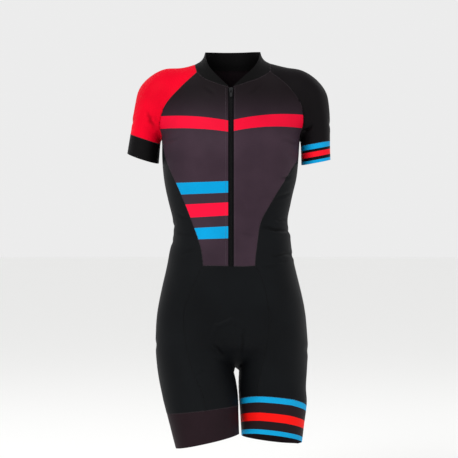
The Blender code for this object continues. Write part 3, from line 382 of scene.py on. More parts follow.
@dataclass(frozen=True)
class KnitFinish(Finish):
    """Polyester and elastane knit, dyed; bars are sublimation printed, so they keep the knit.

    The yarn gives a soft silky gloss with a faint sheen at grazing angles. Wales are really
    0.5 mm apart; they are drawn coarser, at the pitch of `knit`, so that they show at all. A
    ground may turn darker towards the top, to `top` between two heights. Shade is painted into
    a fold's trough and a seam's groove: the colour there is darkened towards black.
    """

    base: str
    light: str
    knit: Knit = Knit.JERSEY
    roughness: float = 0.55
    gloss: float = 0.06
    sheen: float = 0.02
    sheen_tint: str = "#8A8090"
    sheen_roughness: float = 0.45
    ior: float = 1.48
    edges: int = 0
    stripes: tuple[Stripe, ...] = ()
    top: str = ""
    fade: tuple[float, float] = (-0.055, -0.175)
    # how far the painted shade in a fold's trough or a seam's groove darkens the colour towards black
    painted_shade: float = 0.55
    patch_scale: float = 9.0
    fibre_scale: float = 0.55
    loop_tone: float = 0.35
    bar_wear: float = 0.22

    def unprinted(self, values: np.ndarray) -> np.ndarray:
        """The nearest stripe values that no bar covers."""
        zone = np.minimum(np.floor(values), self.edges - 1)
        printed = np.isin(zone, [stripe.first for stripe in self.stripes])
        beside = np.where(zone + 1 < self.edges, zone + 1, zone - 1)
        return np.where(printed, beside, zone) + 0.5

    def build(self) -> bpy.types.Material:
        """Make the material."""
        pitch, depth = self.knit.value
        made, tree, shader = self.start()
        where = add(tree, "ShaderNodeUVMap", {"uv_map": KNIT_UV}).outputs[0]       # in mm
        place = add(tree, "ShaderNodeTexCoord").outputs["Object"]                   # in metres
        wales = wave(tree, where, pitch, "X", Distortion=0.6, Detail=1.0)
        courses = wave(tree, where, pitch * COURSE_SHARE, "Y", Distortion=0.8, Detail=1.0)
        loops = times(tree, wales, courses)
        patches = add(tree, "ShaderNodeTexNoise", Vector=place, Scale=self.patch_scale,
                      Detail=3.0).outputs["Fac"]
        fibres = add(tree, "ShaderNodeTexNoise", Vector=where, Scale=self.fibre_scale, Detail=4.0,
                     Roughness=0.7).outputs["Fac"]
        mottle = times(tree, fibres, 0.5, patches)
        tone = add(tree, "ShaderNodeMapRange", Value=mottle, From_Min=0.5, From_Max=1.0).outputs[0]
        thread = times(tree, loops, self.loop_tone, tone)
        colour = mix(tree, thread, linear(self.base), linear(self.light), clamp_factor=True)
        # the ground colour turns darker towards the top, to `top`, between the two heights of `fade`
        if self.top:
            height = add(tree, "ShaderNodeSeparateXYZ", Vector=place).outputs[2]
            low, high = self.fade
            share = add(tree, "ShaderNodeMapRange", {"interpolation_type": "SMOOTHSTEP"}, Value=height,
                        From_Min=low, From_Max=high).outputs[0]
            colour = mix(tree, share, linear(self.top), colour)
        if self.stripes:
            colour = self.printed(tree, colour, thread)
        # painted shade: the colour is darkened towards black where the cloth lies in a fold's trough or a
        # seam's groove
        trough = add(tree, "ShaderNodeAttribute", {"attribute_name": PAINTED_SHADE}).outputs["Fac"]
        colour = mix(tree, times(tree, trough, self.painted_shade), colour, BLACK)
        rough = spread(tree, mottle, self.roughness, (-0.06, 0.08), From_Min=0.4, From_Max=1.1)
        bump = add(tree, "ShaderNodeBump", Strength=0.5, Distance=depth * MM,
                   Height=times(tree, fibres, 0.5, loops)).outputs[0]
        feed(shader, Base_Color=colour, Roughness=rough, Normal=bump, IOR=self.ior,
             Specular_IOR_Level=self.gloss, Sheen_Weight=self.sheen, Sheen_Roughness=self.sheen_roughness,
             Sheen_Tint=linear(self.sheen_tint))
        return made

    def printed(self, tree: bpy.types.NodeTree, cloth: bpy.types.NodeSocket,
                thread: bpy.types.NodeSocket) -> bpy.types.NodeSocket:
        """Lay the printed bars over the cloth colour.

        Args:
            tree: the material's node tree.
            cloth: the cloth colour.
            thread: how light the yarn is, 0 to 1.

        Returns:
            The colour with its bars.
        """
        line = add(tree, "ShaderNodeAttribute", {"attribute_name": STRIPE}).outputs["Fac"]
        share = add(tree, "ShaderNodeMath", {"operation": "DIVIDE"}, in_0=line,
                    in_1=float(self.edges)).outputs[0]
        bars = add(tree, "ShaderNodeValToRGB", Fac=share)
        bars.color_ramp.interpolation = "CONSTANT"
        stops = {0.0: CLEAR}
        for stripe in self.stripes:
            stops[stripe.first / self.edges] = linear(stripe.colour)
            if stripe.first + 1 < self.edges:
                stops.setdefault((stripe.first + 1) / self.edges, CLEAR)
        elements = bars.color_ramp.elements
        while len(elements) < len(stops):
            elements.new(0.5)
        for element, (at, value) in zip(elements, sorted(stops.items())):
            element.position = min(at, 1.0)
            element.color = value
        grey = add(tree, "ShaderNodeCombineColor", Red=thread, Green=thread, Blue=thread).outputs[0]
        worn = mix(tree, self.bar_wear, bars.outputs["Color"], grey, blend_type="MULTIPLY")
        return mix(tree, bars.outputs["Alpha"], cloth, worn)


@dataclass(frozen=True)
class ThreadFinish(Finish):
    """Twisted polyester sewing thread: matt, with a fine twist across its length."""

    colour: str
    twist_mm: float = 0.3
    shade: float = 0.6
    roughness: float = 0.6
    gloss: float = 0.15

    def build(self) -> bpy.types.Material:
        """Make the material."""
        made, tree, shader = self.start()
        place = add(tree, "ShaderNodeTexCoord").outputs["Object"]
        twist = wave(tree, place, self.twist_mm * MM, "DIAGONAL")
        dark = tuple(self.shade * v for v in linear(self.colour)[:3]) + (1.0,)
        colour = mix(tree, twist, dark, linear(self.colour))
        feed(shader, Base_Color=colour, Roughness=self.roughness, Specular_IOR_Level=self.gloss)
        return made


@dataclass(frozen=True)
class HardFinish(Finish):
    """Enamelled zinc or moulded nylon: smooth with a faint uneven gloss."""

    colour: str
    light: str
    roughness: float
    coat: float = 0.0
    gloss: float = 0.15
    grain: float = 700.0
    grain_depth_mm: float = 0.02

    def build(self) -> bpy.types.Material:
        """Make the material."""
        made, tree, shader = self.start()
        place = add(tree, "ShaderNodeTexCoord").outputs["Object"]
        fine = add(tree, "ShaderNodeTexNoise", Vector=place, Scale=self.grain, Detail=3.0).outputs["Fac"]
        colour = mix(tree, fine, linear(self.colour), linear(self.light))
        rough = spread(tree, fine, self.roughness, (-0.05, 0.08))
        bump = add(tree, "ShaderNodeBump", Strength=0.3, Distance=self.grain_depth_mm * MM,
                   Height=fine).outputs[0]
        feed(shader, Base_Color=colour, Roughness=rough, Normal=bump, Specular_IOR_Level=self.gloss,
             Coat_Weight=self.coat)
        return made


@dataclass(frozen=True)
class WovenTape(Finish):
    """Woven polyester zip tape: flat herringbone ribs, dull black."""

    name: str = "woven_polyester_tape"
    colour: str = "#09090B"
    light: str = "#121215"
    rib_mm: float = 1.4
    pick_mm: float = 0.9
    depth_mm: float = 0.1
    roughness: float = 0.75
    gloss: float = 0.06

    def build(self) -> bpy.types.Material:
        """Make the material."""
        made, tree, shader = self.start()
        place = add(tree, "ShaderNodeTexCoord").outputs["Object"]
        ribs = wave(tree, place, self.rib_mm * MM, "X", "TRI", Distortion=0.3)
        picks = wave(tree, place, self.pick_mm * MM, "Z", Distortion=0.4)
        weave = times(tree, ribs, picks)
        colour = mix(tree, weave, linear(self.colour), linear(self.light))
        bump = add(tree, "ShaderNodeBump", Strength=0.5, Distance=self.depth_mm * MM,
                   Height=weave).outputs[0]
        feed(shader, Base_Color=colour, Normal=bump, Roughness=self.roughness,
             Specular_IOR_Level=self.gloss)
        return made


@dataclass(frozen=True)
class Finishes:
    """Every finish of the suit, by the record's material slot where it has one."""

    front: KnitFinish = KnitFinish("polyester_elastane_jersey_aubergine", "#2A1E27", "#3B2C36", edges=9,
                                   top="#150F12", stripes=(
                                       Stripe(1, "#DE0830"), Stripe(3, "#0096CE"),
                                       Stripe(5, "#EE0E38"), Stripe(7, "#0096CE")))
    back: KnitFinish = KnitFinish("polyester_elastane_jersey_aubergine_back", "#2A1E27", "#392B34",
                                  top="#150F12")
    black: KnitFinish = KnitFinish("polyester_elastane_jersey_black", "#08090B", "#0E1012")
    dark: KnitFinish = KnitFinish("polyester_elastane_jersey_near_black", "#080608", "#0F0C0E")
    red: KnitFinish = KnitFinish("polyester_elastane_jersey_crimson", "#C4001C", "#E00024", gloss=0.04,
                                 sheen=0.0)
    cuff_striped: KnitFinish = KnitFinish(
        "elastic_rib_band_striped_cuff", "#080608", "#100C0F", Knit.ELASTIC, edges=5,
        stripes=(Stripe(0, "#0A98D0"), Stripe(2, "#EE1226"), Stripe(4, "#0A98D0")))
    cuff_black: KnitFinish = KnitFinish("elastic_rib_band_black", "#050506", "#0A090A", Knit.ELASTIC)
    collar: KnitFinish = KnitFinish("double_knit_collar_near_black", "#040404", "#080708", Knit.DOUBLE)
    band_striped: KnitFinish = KnitFinish(
        "elastic_rib_band_striped_leg", "#190F12", "#24171B", Knit.ELASTIC, edges=5,
        stripes=(Stripe(0, "#0C9BD0"), Stripe(2, "#F21410"), Stripe(4, "#0C9BD0")))
    band_plum: KnitFinish = KnitFinish("elastic_rib_band_plum", "#170E11", "#21151A", Knit.ELASTIC)
    pad: KnitFinish = KnitFinish("brushed_knit_over_foam", "#35353A", "#4A4A50", Knit.DOUBLE,
                                 roughness=0.85)
    seam_thread: ThreadFinish = ThreadFinish("polyester_seam_thread_mauve_grey", "#3F363B")
    black_thread: ThreadFinish = ThreadFinish("polyester_seam_thread_black", "#0A0A0C")
    zip_thread: ThreadFinish = ThreadFinish("polyester_topstitch_thread_grey", "#5A5158")
    coil: HardFinish = HardFinish("moulded_nylon_coil", "#040405", "#08080A", 0.5)
    metal: HardFinish = HardFinish("enamelled_zinc_alloy_dark", "#0A0A0C", "#141417", 0.36, coat=0.25)
    tape: WovenTape = WovenTape()


# ================================================================ cloth panels
@dataclass
class Surface:
    """A fine open surface on the outer side of a node, with its points and normals in mm."""

    mesh: bpy.types.Mesh
    points: np.ndarray = field(init=False)
    normals: np.ndarray = field(init=False)
    loops: list[list[int]] = field(init=False)

    def __post_init__(self) -> None:
        """Read the mesh's points and find its edges."""
        self.read()
        self.loops = self.find_loops()

    def read(self) -> None:
        """Read points and normals again."""
        self.points, self.normals = mesh_arrays(self.mesh)

    def find_loops(self) -> list[list[int]]:
        """Closed runs of points along the surface's edges."""
        count = np.zeros(len(self.mesh.edges), dtype=int)
        used = np.empty(len(self.mesh.loops), dtype=np.int32)
        self.mesh.loops.foreach_get("edge_index", used)
        np.add.at(count, used, 1)
        near: dict[int, list[int]] = {}
        for index in np.nonzero(count == 1)[0]:
            a, b = self.mesh.edges[int(index)].vertices
            near.setdefault(a, []).append(b)
            near.setdefault(b, []).append(a)
        loops, left = [], set(near)
        while left:
            start = min(left)
            loop, here = [start], near[start][0]
            left.discard(start)
            while here != start and here in left:
                loop.append(here)
                left.discard(here)
                here = next((n for n in near[here] if n in left), start)
            loops.append(loop)
        return loops

    def move(self, offsets: np.ndarray) -> None:
        """Move each point outward by its offset, mm."""
        self.points = self.points + self.normals * offsets[:, None]
        self.mesh.vertices.foreach_set("co", (self.points * MM).astype(np.float32).ravel())
        self.mesh.update()
        self.read()


@dataclass
class Panel:
    """One cut panel of cloth, made from its solid's outer side."""

    node: str
    slot: str
    finish: KnitFinish | WovenTape
    flat: tuple[float, float]
    area: float
    middle: tuple[float, float] = (0.0, 0.0)
    radius: float = 120.0
    thickness: float = 1.2
    levels: int = 3
    rim_tolerance: float = 0.03
    corner_turn: float = 32.0
    corner_reach: float = 2.5
    coarse: bpy.types.Mesh = field(init=False)
    surface: Surface = field(init=False)

    def cut(self) -> list[Vector]:
        """Take the outer side of the solid as a coarse mesh.

        Returns:
            The corners of the cut, where its edge turns sharply.
        """
        shell = solid_shell(self.node)
        across = [edge for edge in shell.edges
                  if abs(edge.calc_length() / MM - self.thickness) < self.rim_tolerance]
        rim = list({face for edge in across for face in edge.link_faces})
        bmesh.ops.delete(shell, geom=rim, context="FACES")
        self.keep_outer(shell)
        merge_triangles(shell)
        corners = []
        for point in shell.verts:
            ends = [edge.other_vert(point).co - point.co for edge in point.link_edges if edge.is_boundary]
            sharpest = math.radians(180.0 - self.corner_turn)
            if len(ends) == 2 and ends[0].angle(ends[1], 0.0) < sharpest:
                corners.append(point.co.copy())
        self.coarse = bpy.data.meshes.new(self.node + "_cloth")
        shell.to_mesh(self.coarse)
        shell.free()
        return corners

    def refine(self, corners: KDTree) -> Surface:
        """Make the cut fine and smooth, pinned at every corner that its edge passes.

        Args:
            corners: search tree over the corners of every panel, in metres.

        Returns:
            The fine surface.
        """
        pinned = [corners.find(point.co)[2] < self.corner_reach * MM for point in self.coarse.vertices]
        crease = self.coarse.attributes.new("crease_vert", "FLOAT", "POINT")
        crease.data.foreach_set("value", np.array(pinned, dtype=np.float32))
        self.surface = Surface(subdivided(self.node + "_fine", self.coarse, self.levels))
        return self.surface

    def keep_outer(self, shell: bmesh.types.BMesh) -> None:
        """Keep the island of faces that faces away from the panel's own middle."""
        left, islands = set(shell.faces), []
        while left:
            stack, island = [left.pop()], []
            while stack:
                face = stack.pop()
                island.append(face)
                for edge in face.edges:
                    for other in edge.link_faces:
                        if other in left:
                            left.discard(other)
                            stack.append(other)
            islands.append(island)
        middle = Vector((*self.middle, 0.0)) * MM
        level = Vector((1.0, 1.0, 0.0))
        islands.sort(key=lambda faces: sum(
            face.calc_area() * face.normal.dot((face.calc_center_median() - middle) * level)
            for face in faces))
        unwanted = [face for island in islands[:-1] for face in island]
        bmesh.ops.delete(shell, geom=unwanted, context="FACES")

    def map_knit(self) -> None:
        """Write the UV map in mm: round the panel's own middle, and up."""
        mesh = self.surface.mesh
        points = self.surface.points
        around = np.arctan2(points[:, 1] - self.middle[1], points[:, 0] - self.middle[0]) * self.radius
        corner = np.empty(len(mesh.loops), dtype=np.int32)
        mesh.loops.foreach_get("vertex_index", corner)
        u = around[corner]
        starts = np.empty(len(mesh.polygons), dtype=np.int32)
        totals = np.empty(len(mesh.polygons), dtype=np.int32)
        mesh.polygons.foreach_get("loop_start", starts)
        mesh.polygons.foreach_get("loop_total", totals)
        first = np.repeat(u[starts], totals)
        turn = 2 * math.pi * self.radius
        u = u - np.round((u - first) / turn) * turn
        layer = mesh.uv_layers.new(name=KNIT_UV)
        layer.data.foreach_set("uv", np.stack([u, points[corner, 2]], axis=1).astype(np.float32).ravel())

    def write(self, name: str, values: np.ndarray) -> None:
        """Write a value for each point of the surface under a name."""
        attribute = self.surface.mesh.attributes.new(name, "FLOAT", "POINT")
        attribute.data.foreach_set("value", values.astype(np.float32))

    def finish_piece(self) -> bpy.types.Object:
        """Give the surface its thickness and material, and set it in the frame."""
        self.map_knit()
        mesh = self.surface.mesh
        mesh.materials.clear()
        mesh.materials.append(self.finish.material())
        holder = new_object(self.node + "_thick", mesh)
        wall = holder.modifiers.new("wall", "SOLIDIFY")
        wall.thickness = self.thickness * MM
        wall.offset = -1.0
        wall.use_rim = True
        piece = new_object(self.node + "_cloth", applied(holder))
        piece.data.shade_smooth()
        self.soften_rim(piece.data)
        self.plain_inside(piece.data)
        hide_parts(self.node)
        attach(piece, SUIT)
        LOG.info("%s: %d faces", piece.name, len(piece.data.polygons))
        return piece

    def plain_inside(self, mesh: bpy.types.Mesh) -> None:
        """Leave the bars off the inner side of the wall."""
        bars = mesh.attributes.get(STRIPE)
        if bars:
            values = np.empty(len(mesh.vertices), dtype=np.float32)
            bars.data.foreach_get("value", values)
            inner = len(self.surface.points)
            values[inner:] = self.finish.unprinted(values[:inner])
            bars.data.foreach_set("value", values)

    def soften_rim(self, mesh: bpy.types.Mesh) -> None:
        """Mark the cut edge sharp, so that its narrow faces don't shade the cloth."""
        inner = len(self.surface.points)
        ends = np.empty(len(mesh.edges) * 2, dtype=np.int32)
        mesh.edges.foreach_get("vertices", ends)
        ends = ends.reshape(-1, 2)
        across = (ends[:, 0] < inner) != (ends[:, 1] < inner)
        rim = set(ends[across].ravel().tolist())
        member = np.zeros(len(mesh.vertices), dtype=bool)
        member[list(rim)] = True
        sharp = member[ends].all(axis=1) & ~across
        name = "sharp_edge"
        attribute = mesh.attributes.get(name) or mesh.attributes.new(name, "BOOLEAN", "EDGE")
        attribute.data.foreach_set("value", sharp)


def corner_tree(panels: list[Panel]) -> KDTree:
    """Cut every panel coarsely, and make a search tree of all their corners."""
    return search_tree([corner for panel in panels for corner in panel.cut()])


# ================================================================ seams
@dataclass(eq=False)
class SeamLine:
    """One sewn seam: its points on the outer side in mm, and the outward normals."""

    between: tuple[str, str]
    points: np.ndarray
    normals: np.ndarray


@dataclass
class SeamFinder:
    """Finds where the edges of two panels run side by side."""

    panels: list[Panel]
    reach: float = 2.2
    shortest: float = 10.0

    def find(self) -> list[SeamLine]:
        """All seams of the suit."""
        seams = []
        trees = [self.edge_tree(panel) for panel in self.panels]
        for i, panel in enumerate(self.panels):
            for j in range(i + 1, len(self.panels)):
                for loop in panel.surface.loops:
                    seams += self.runs(panel, self.panels[j], loop, trees[j])
        return seams

    @staticmethod
    def edge_tree(panel: Panel) -> KDTree:
        """Search tree over a panel's edge points."""
        members = [k for loop in panel.surface.loops for k in loop]
        return search_tree(panel.surface.points[members], members)

    def runs(self, one: Panel, other: Panel, loop: list[int], tree: KDTree) -> list[SeamLine]:
        """Parts of a loop that lie along the other panel's edge."""
        near, middles, normals = [], [], []
        for k in loop:
            place, index, distance = tree.find(one.surface.points[k])
            close = place is not None and distance < self.reach
            near.append(close)
            if close:
                middles.append((one.surface.points[k] + np.array(place)) / 2)
                normals.append(one.surface.normals[k] + other.surface.normals[index])
            else:
                middles.append(None)
                normals.append(None)
        if not any(near):
            return []
        count = len(loop)
        start = near.index(False) if not all(near) else 0
        found, current = [], []
        for step in range(count):
            k = (start + step) % count
            if near[k]:
                current.append(k)
            elif current:
                found.append(current)
                current = []
        if current:
            found.append(current + ([current[0]] if all(near) else []))
        lines = []
        for run in found:
            points = np.array([middles[k] for k in run])
            directions = np.array([normals[k] for k in run])
            if len(run) > 2 and np.linalg.norm(np.diff(points, axis=0), axis=1).sum() > self.shortest:
                directions /= np.linalg.norm(directions, axis=1, keepdims=True)
                lines.append(SeamLine((one.node, other.node), points, directions))
        return lines


# ================================================================ folds
@dataclass(frozen=True)
class Fold:
    """A soft trough in the cloth, or a ridge where its depth is below 0; sizes in mm.

    The path is read from one side: photo pixels from the front, and mm from the others.
    """

    facing: Facing
    path: tuple[tuple[float, float], ...]
    depth: float
    width: float
    ridge: float = 0.35
    seen: float = 0.15          # least cosine between a point's normal and the view
    close_by: float = 2.0       # points this much further than the nearest are weighed too, px or mm
    reach: float = 4.0          # how far the fold is felt, in widths
    crest_at: float = 1.9       # where its crests are, in widths
    lesser_crest: float = 0.45  # the crest on one side of the path, as a share of the other's height
    tip: float = 0.06           # how much of the taper's half wave is cut off at each end
    taper: float = 0.8          # the half wave's power

    def on_surface(self, points: np.ndarray, normals: np.ndarray, places: np.ndarray) -> tuple:
        """Find the path on the cloth.

        Args:
            points: all cloth points.
            normals: their outward normals.
            places: the photo's pixels of the points.

        Returns:
            The path's points and normals.
        """
        across, up, direction = self.facing.value
        facing = normals @ np.array(direction) > self.seen
        flat = places if self.facing is Facing.FRONT else points[:, (across, up)]
        candidates = np.nonzero(facing)[0]
        samples = []
        for start, end in zip(self.path, self.path[1:]):
            for t in np.linspace(0.0, 1.0, 5)[:-1]:
                samples.append(np.array(start) * (1 - t) + np.array(end) * t)
        samples.append(np.array(self.path[-1]))
        outward = points[candidates] @ np.array(direction)
        rows = []
        for sample in samples:
            away = np.linalg.norm(flat[candidates] - sample, axis=1)
            close = away < away.min() + self.close_by
            rows.append(candidates[np.argmax(np.where(close, outward, -FAR))])
        return points[rows], normals[rows]

    def offsets(self, line: np.ndarray, line_normals: np.ndarray, points: np.ndarray,
                normals: np.ndarray) -> np.ndarray:
        """How far the fold moves each point outward, mm."""
        moved = np.zeros(len(points))
        reach = self.reach * self.width
        low, high = line.min(axis=0) - reach, line.max(axis=0) + reach
        near = np.nonzero(np.all((points > low) & (points < high), axis=1))[0]
        if not len(near):
            return moved
        p, n = points[near], normals[near]
        steps = np.linalg.norm(np.diff(line, axis=0), axis=1)
        length = max(steps.sum(), TINY)
        best = np.full(len(near), FAR)
        signed = np.zeros(len(near))
        along = np.zeros(len(near))
        agree = np.zeros(len(near))
        run = 0.0
        for k, step in enumerate(steps):
            if step < TINY:
                continue
            axis = (line[k + 1] - line[k]) / step
            t = np.clip((p - line[k]) @ axis, 0.0, step)
            away = p - line[k] - t[:, None] * axis
            distance = np.linalg.norm(away, axis=1)
            side = np.sign(np.sum(np.cross(axis, n) * away, axis=1))
            closer = distance < best
            best = np.where(closer, distance, best)
            signed = np.where(closer, distance * side, signed)
            along = np.where(closer, (run + t) / length, along)
            agree = np.where(closer, n @ line_normals[k], agree)
            run += step
        taper = np.sin(np.pi * (self.tip + (1 - 2 * self.tip) * along)) ** self.taper
        trough = np.exp(-(signed / self.width) ** 2)
        crest = self.ridge * np.exp(-(np.abs(signed) / self.width - self.crest_at) ** 2)
        crest = np.where(signed > 0, crest, self.lesser_crest * crest)
        moved[near] = self.depth * taper * (crest - trough) * ramp(agree, 0.0, 0.5)
        return moved


@dataclass
class Relief:
    """Everything that moves the cloth off its smooth form; sizes in mm."""

    folds: tuple[Fold, ...]
    seams: list[SeamLine]
    pucker: float = 0.20
    pucker_pitch: float = 11.0
    pucker_reach: float = 5.0
    pucker_even: float = 0.55   # share of a pucker's depth that stays the same along the seam
    beat: float = 37.0          # the rest swells and fades over this length times 2 pi
    seam_shift: float = 31.0    # each seam's puckers start this much later than the last one's
    sink: float = 0.30
    sink_reach: float = 2.2
    drift: float = 0.16
    # a trough this deep, mm, gets the full painted shade
    deepest: float = 3.0
    lines: list = field(init=False)
    runs: np.ndarray = field(init=False)
    tree: KDTree = field(init=False)

    def prepare(self, panels: list[Panel], view: PhotoView) -> None:
        """Find each fold on the cloth, and make the search tree of the seams."""
        points = np.vstack([panel.surface.points for panel in panels])
        normals = np.vstack([panel.surface.normals for panel in panels])
        places = view.project(points)
        self.lines = [fold.on_surface(points, normals, places) for fold in self.folds]
        rows = []
        for number, seam in enumerate(self.seams):
            steps = np.linalg.norm(np.diff(seam.points, axis=0), axis=1)
            run = np.concatenate([[0.0], np.cumsum(steps)])
            rows += [(point, at + self.seam_shift * number) for point, at in zip(seam.points, run)]
        self.runs = np.array([at for _, at in rows])
        self.tree = search_tree([point for point, _ in rows])

    def unevenness(self, points: np.ndarray) -> np.ndarray:
        """Slight waves in the cloth, -1.6 to 1.6, each as long as its number times 2 pi, mm."""
        x, y, z = points.T
        broad = np.sin(x / 13.0 + z / 31.0 + 1.0) * np.sin(y / 17.0 - z / 23.0)
        return broad + 0.6 * np.sin(z / 11.0 + x / 29.0 + y / 19.0)

    def offsets(self, points: np.ndarray, normals: np.ndarray) -> np.ndarray:
        """How far each point moves outward, mm."""
        moved = np.zeros(len(points))
        for fold, (line, line_normals) in zip(self.folds, self.lines):
            moved += fold.offsets(line, line_normals, points, normals)
        moved += self.drift * self.unevenness(points)
        distance = np.empty(len(points))
        run = np.empty(len(points))
        for k, point in enumerate(points):
            _, index, distance[k] = self.tree.find(point)
            run[k] = self.runs[index]
        even = self.pucker_even
        wave = np.sin(2 * math.pi * run / self.pucker_pitch) * (even + (1 - even) * np.sin(run / self.beat))
        moved += self.pucker * wave * np.exp(-(distance / self.pucker_reach) ** 2)
        moved -= self.sink * np.exp(-(distance / self.sink_reach) ** 2)
        return moved


# ================================================================ stitches and teeth
@dataclass(frozen=True)
class StitchSizes:
    """Sizes of a row of short bars that follow a path, mm and degrees."""

    pitch: float
    length: float
    thread: float
    turn: float = 0.0
    aside: float = 0.0
    lift: float = 0.1
    crossed: bool = False


@dataclass
class StitchRow:
    """Short bars along paths, made by one node tree."""

    name: str
    sizes: StitchSizes
    finish: ThreadFinish | HardFinish

    def tree(self, material: bpy.types.Material) -> bpy.types.NodeTree:
        """Make the node tree.

        Args:
            material: the bars' material.

        Returns:
            The tree; its inputs are a path and the sizes in metres.
        """
        tree = bpy.data.node_groups.new(self.name, "GeometryNodeTree")
        tree.interface.new_socket(name="Path", in_out="INPUT", socket_type="NodeSocketGeometry")
        for name in ("Pitch", "Length", "Thread", "Turn", "Aside", "Lift"):
            tree.interface.new_socket(name=name, in_out="INPUT", socket_type="NodeSocketFloat")
        tree.interface.new_socket(name="Bars", in_out="OUTPUT", socket_type="NodeSocketGeometry")
        given = add(tree, "NodeGroupInput").outputs
        curve = add(tree, "GeometryNodeMeshToCurve", Mesh=given["Path"]).outputs[0]
        spaced = add(tree, "GeometryNodeResampleCurve", {"mode": "LENGTH"}, Curve=curve,
                     Length=given["Pitch"]).outputs[0]
        radius = times(tree, given["Thread"], 0.5)
        rod = add(tree, "GeometryNodeMeshCylinder", {"fill_type": "NGON"}, Vertices=5,
                  Radius=radius, Depth=given["Length"]).outputs["Mesh"]
        lying = add(tree, "GeometryNodeTransform", Geometry=rod,
                    Rotation=(0.0, math.pi / 2, 0.0)).outputs[0]
        bars = [self.turned(tree, lying, given, 1.0)]
        if self.sizes.crossed:
            bars.append(self.turned(tree, lying, given, -1.0))
        joined = tree.nodes.new("GeometryNodeJoinGeometry")
        for bar in bars:
            tree.links.new(bar, joined.inputs[0])
        tangent = add(tree, "GeometryNodeInputTangent").outputs[0]
        outward = add(tree, "GeometryNodeInputNamedAttribute", {"data_type": "FLOAT_VECTOR"},
                      Name=OUT).outputs[0]
        along = add(tree, "FunctionNodeAlignRotationToVector", {"axis": "X"}, Vector=tangent).outputs[0]
        facing = add(tree, "FunctionNodeAlignRotationToVector", {"axis": "Z", "pivot_axis": "X"},
                     Rotation=along, Vector=outward).outputs[0]
        placed = add(tree, "GeometryNodeInstanceOnPoints", Points=spaced, Instance=joined.outputs[0],
                     Rotation=facing).outputs[0]
        real = add(tree, "GeometryNodeRealizeInstances", Geometry=placed).outputs[0]
        dressed = add(tree, "GeometryNodeSetMaterial", Geometry=real, Material=material).outputs[0]
        add(tree, "NodeGroupOutput", in_0=dressed)
        return tree

    @staticmethod
    def turned(tree: bpy.types.NodeTree, rod: bpy.types.NodeSocket, given: object,
               way: float) -> bpy.types.NodeSocket:
        """A rod turned about its upright axis and moved aside.

        Args:
            tree: the node tree.
            rod: the rod along X.
            given: the tree's input sockets.
            way: 1 or -1, the way it turns.

        Returns:
            The rod's geometry socket.
        """
        rotation = add(tree, "ShaderNodeCombineXYZ", Z=times(tree, given["Turn"], way)).outputs[0]
        place = add(tree, "ShaderNodeCombineXYZ", Y=given["Aside"], Z=given["Lift"]).outputs[0]
        return add(tree, "GeometryNodeTransform", Geometry=rod, Rotation=rotation,
                   Translation=place).outputs[0]

    def build(self, paths: list[tuple[np.ndarray, np.ndarray]]) -> bpy.types.Mesh:
        """Make the bars along paths.

        Args:
            paths: points in mm and outward normals of each path.

        Returns:
            One mesh.
        """
        mesh = bpy.data.meshes.new(self.name + "_path")
        points = np.vstack([path for path, _ in paths]) * MM
        edges, start = [], 0
        for path, _ in paths:
            edges += [(start + k, start + k + 1) for k in range(len(path) - 1)]
            start += len(path)
        mesh.from_pydata(points.tolist(), edges, [])
        attribute = mesh.attributes.new(OUT, "FLOAT_VECTOR", "POINT")
        normals = np.vstack([normal for _, normal in paths])
        attribute.data.foreach_set("vector", normals.astype(np.float32).ravel())
        holder = new_object(self.name + "_holder", mesh)
        tree = self.tree(self.finish.material())
        modifier = holder.modifiers.new("bars", "NODES")
        modifier.node_group = tree
        sizes = self.sizes
        values = {"Pitch": sizes.pitch * MM, "Length": sizes.length * MM, "Thread": sizes.thread * MM,
                  "Turn": math.radians(sizes.turn), "Aside": sizes.aside * MM, "Lift": sizes.lift * MM}
        for item in tree.interface.items_tree:
            if item.item_type == "SOCKET" and item.in_out == "INPUT" and item.name in values:
                modifier[item.identifier] = values[item.name]
        made = applied(holder)
        finish = next(material for material in made.materials if material)
        made.materials.clear()
        made.materials.append(finish)
        made.polygons.foreach_set("material_index", np.zeros(len(made.polygons), dtype=np.int32))
        return made


def join_meshes(name: str, meshes: list[bpy.types.Mesh]) -> bpy.types.Object:
    """Join meshes that share one material into one piece.

    Args:
        name: the piece's name.
        meshes: the meshes.

    Returns:
        The piece.
    """
    whole = bmesh.new()
    for mesh in meshes:
        whole.from_mesh(mesh)
    joined = bpy.data.meshes.new(name)
    whole.to_mesh(joined)
    whole.free()
    joined.materials.append(meshes[0].materials[0])
    return new_object(name, joined)


@dataclass
class SeamStitching:
    """The flat seams' cover stitch: black between black panels, mauve-grey elsewhere."""

    finish: ThreadFinish
    black_finish: ThreadFinish
    cover: StitchSizes = StitchSizes(pitch=2.6, length=2.7, thread=0.34, turn=50.0, lift=0.08, crossed=True)
    core: StitchSizes = StitchSizes(pitch=2.8, length=3.3, thread=0.9, lift=-0.75)
    black_nodes: tuple[str, ...] = ("side_right", "side_left", "shorts_front", "seat", "sleeve_left",
                                    "cuff_right")

    def build(self, seams: list[SeamLine], relief: Relief) -> None:
        """Make the stitches on the folded cloth."""
        black = [seam for seam in seams if set(seam.between) <= set(self.black_nodes)]
        other = [seam for seam in seams if seam not in black]
        self.build_row("seam_stitches", other, self.cover, self.finish, relief)
        self.build_row("seam_stitches_black", black, self.cover, self.black_finish, relief)
        self.build_row("seam_core_thread", seams, self.core, self.black_finish, relief)

    @staticmethod
    def build_row(name: str, seams: list[SeamLine], sizes: StitchSizes, finish: ThreadFinish,
                  relief: Relief) -> None:
        """Make one kind of stitch.

        Args:
            name: the piece's name.
            seams: the seams that it closes.
            sizes: the stitch's sizes.
            finish: the thread's finish.
            relief: the folds of the cloth under it.
        """
        paths = []
        for seam in seams:
            moved = relief.offsets(seam.points, seam.normals)
            paths.append((seam.points + seam.normals * moved[:, None], seam.normals))
        piece = new_object(name, StitchRow(name + "_row", sizes, finish).build(paths))
        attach(piece, SUIT)
        LOG.info("%s: %d seams", name, len(seams))


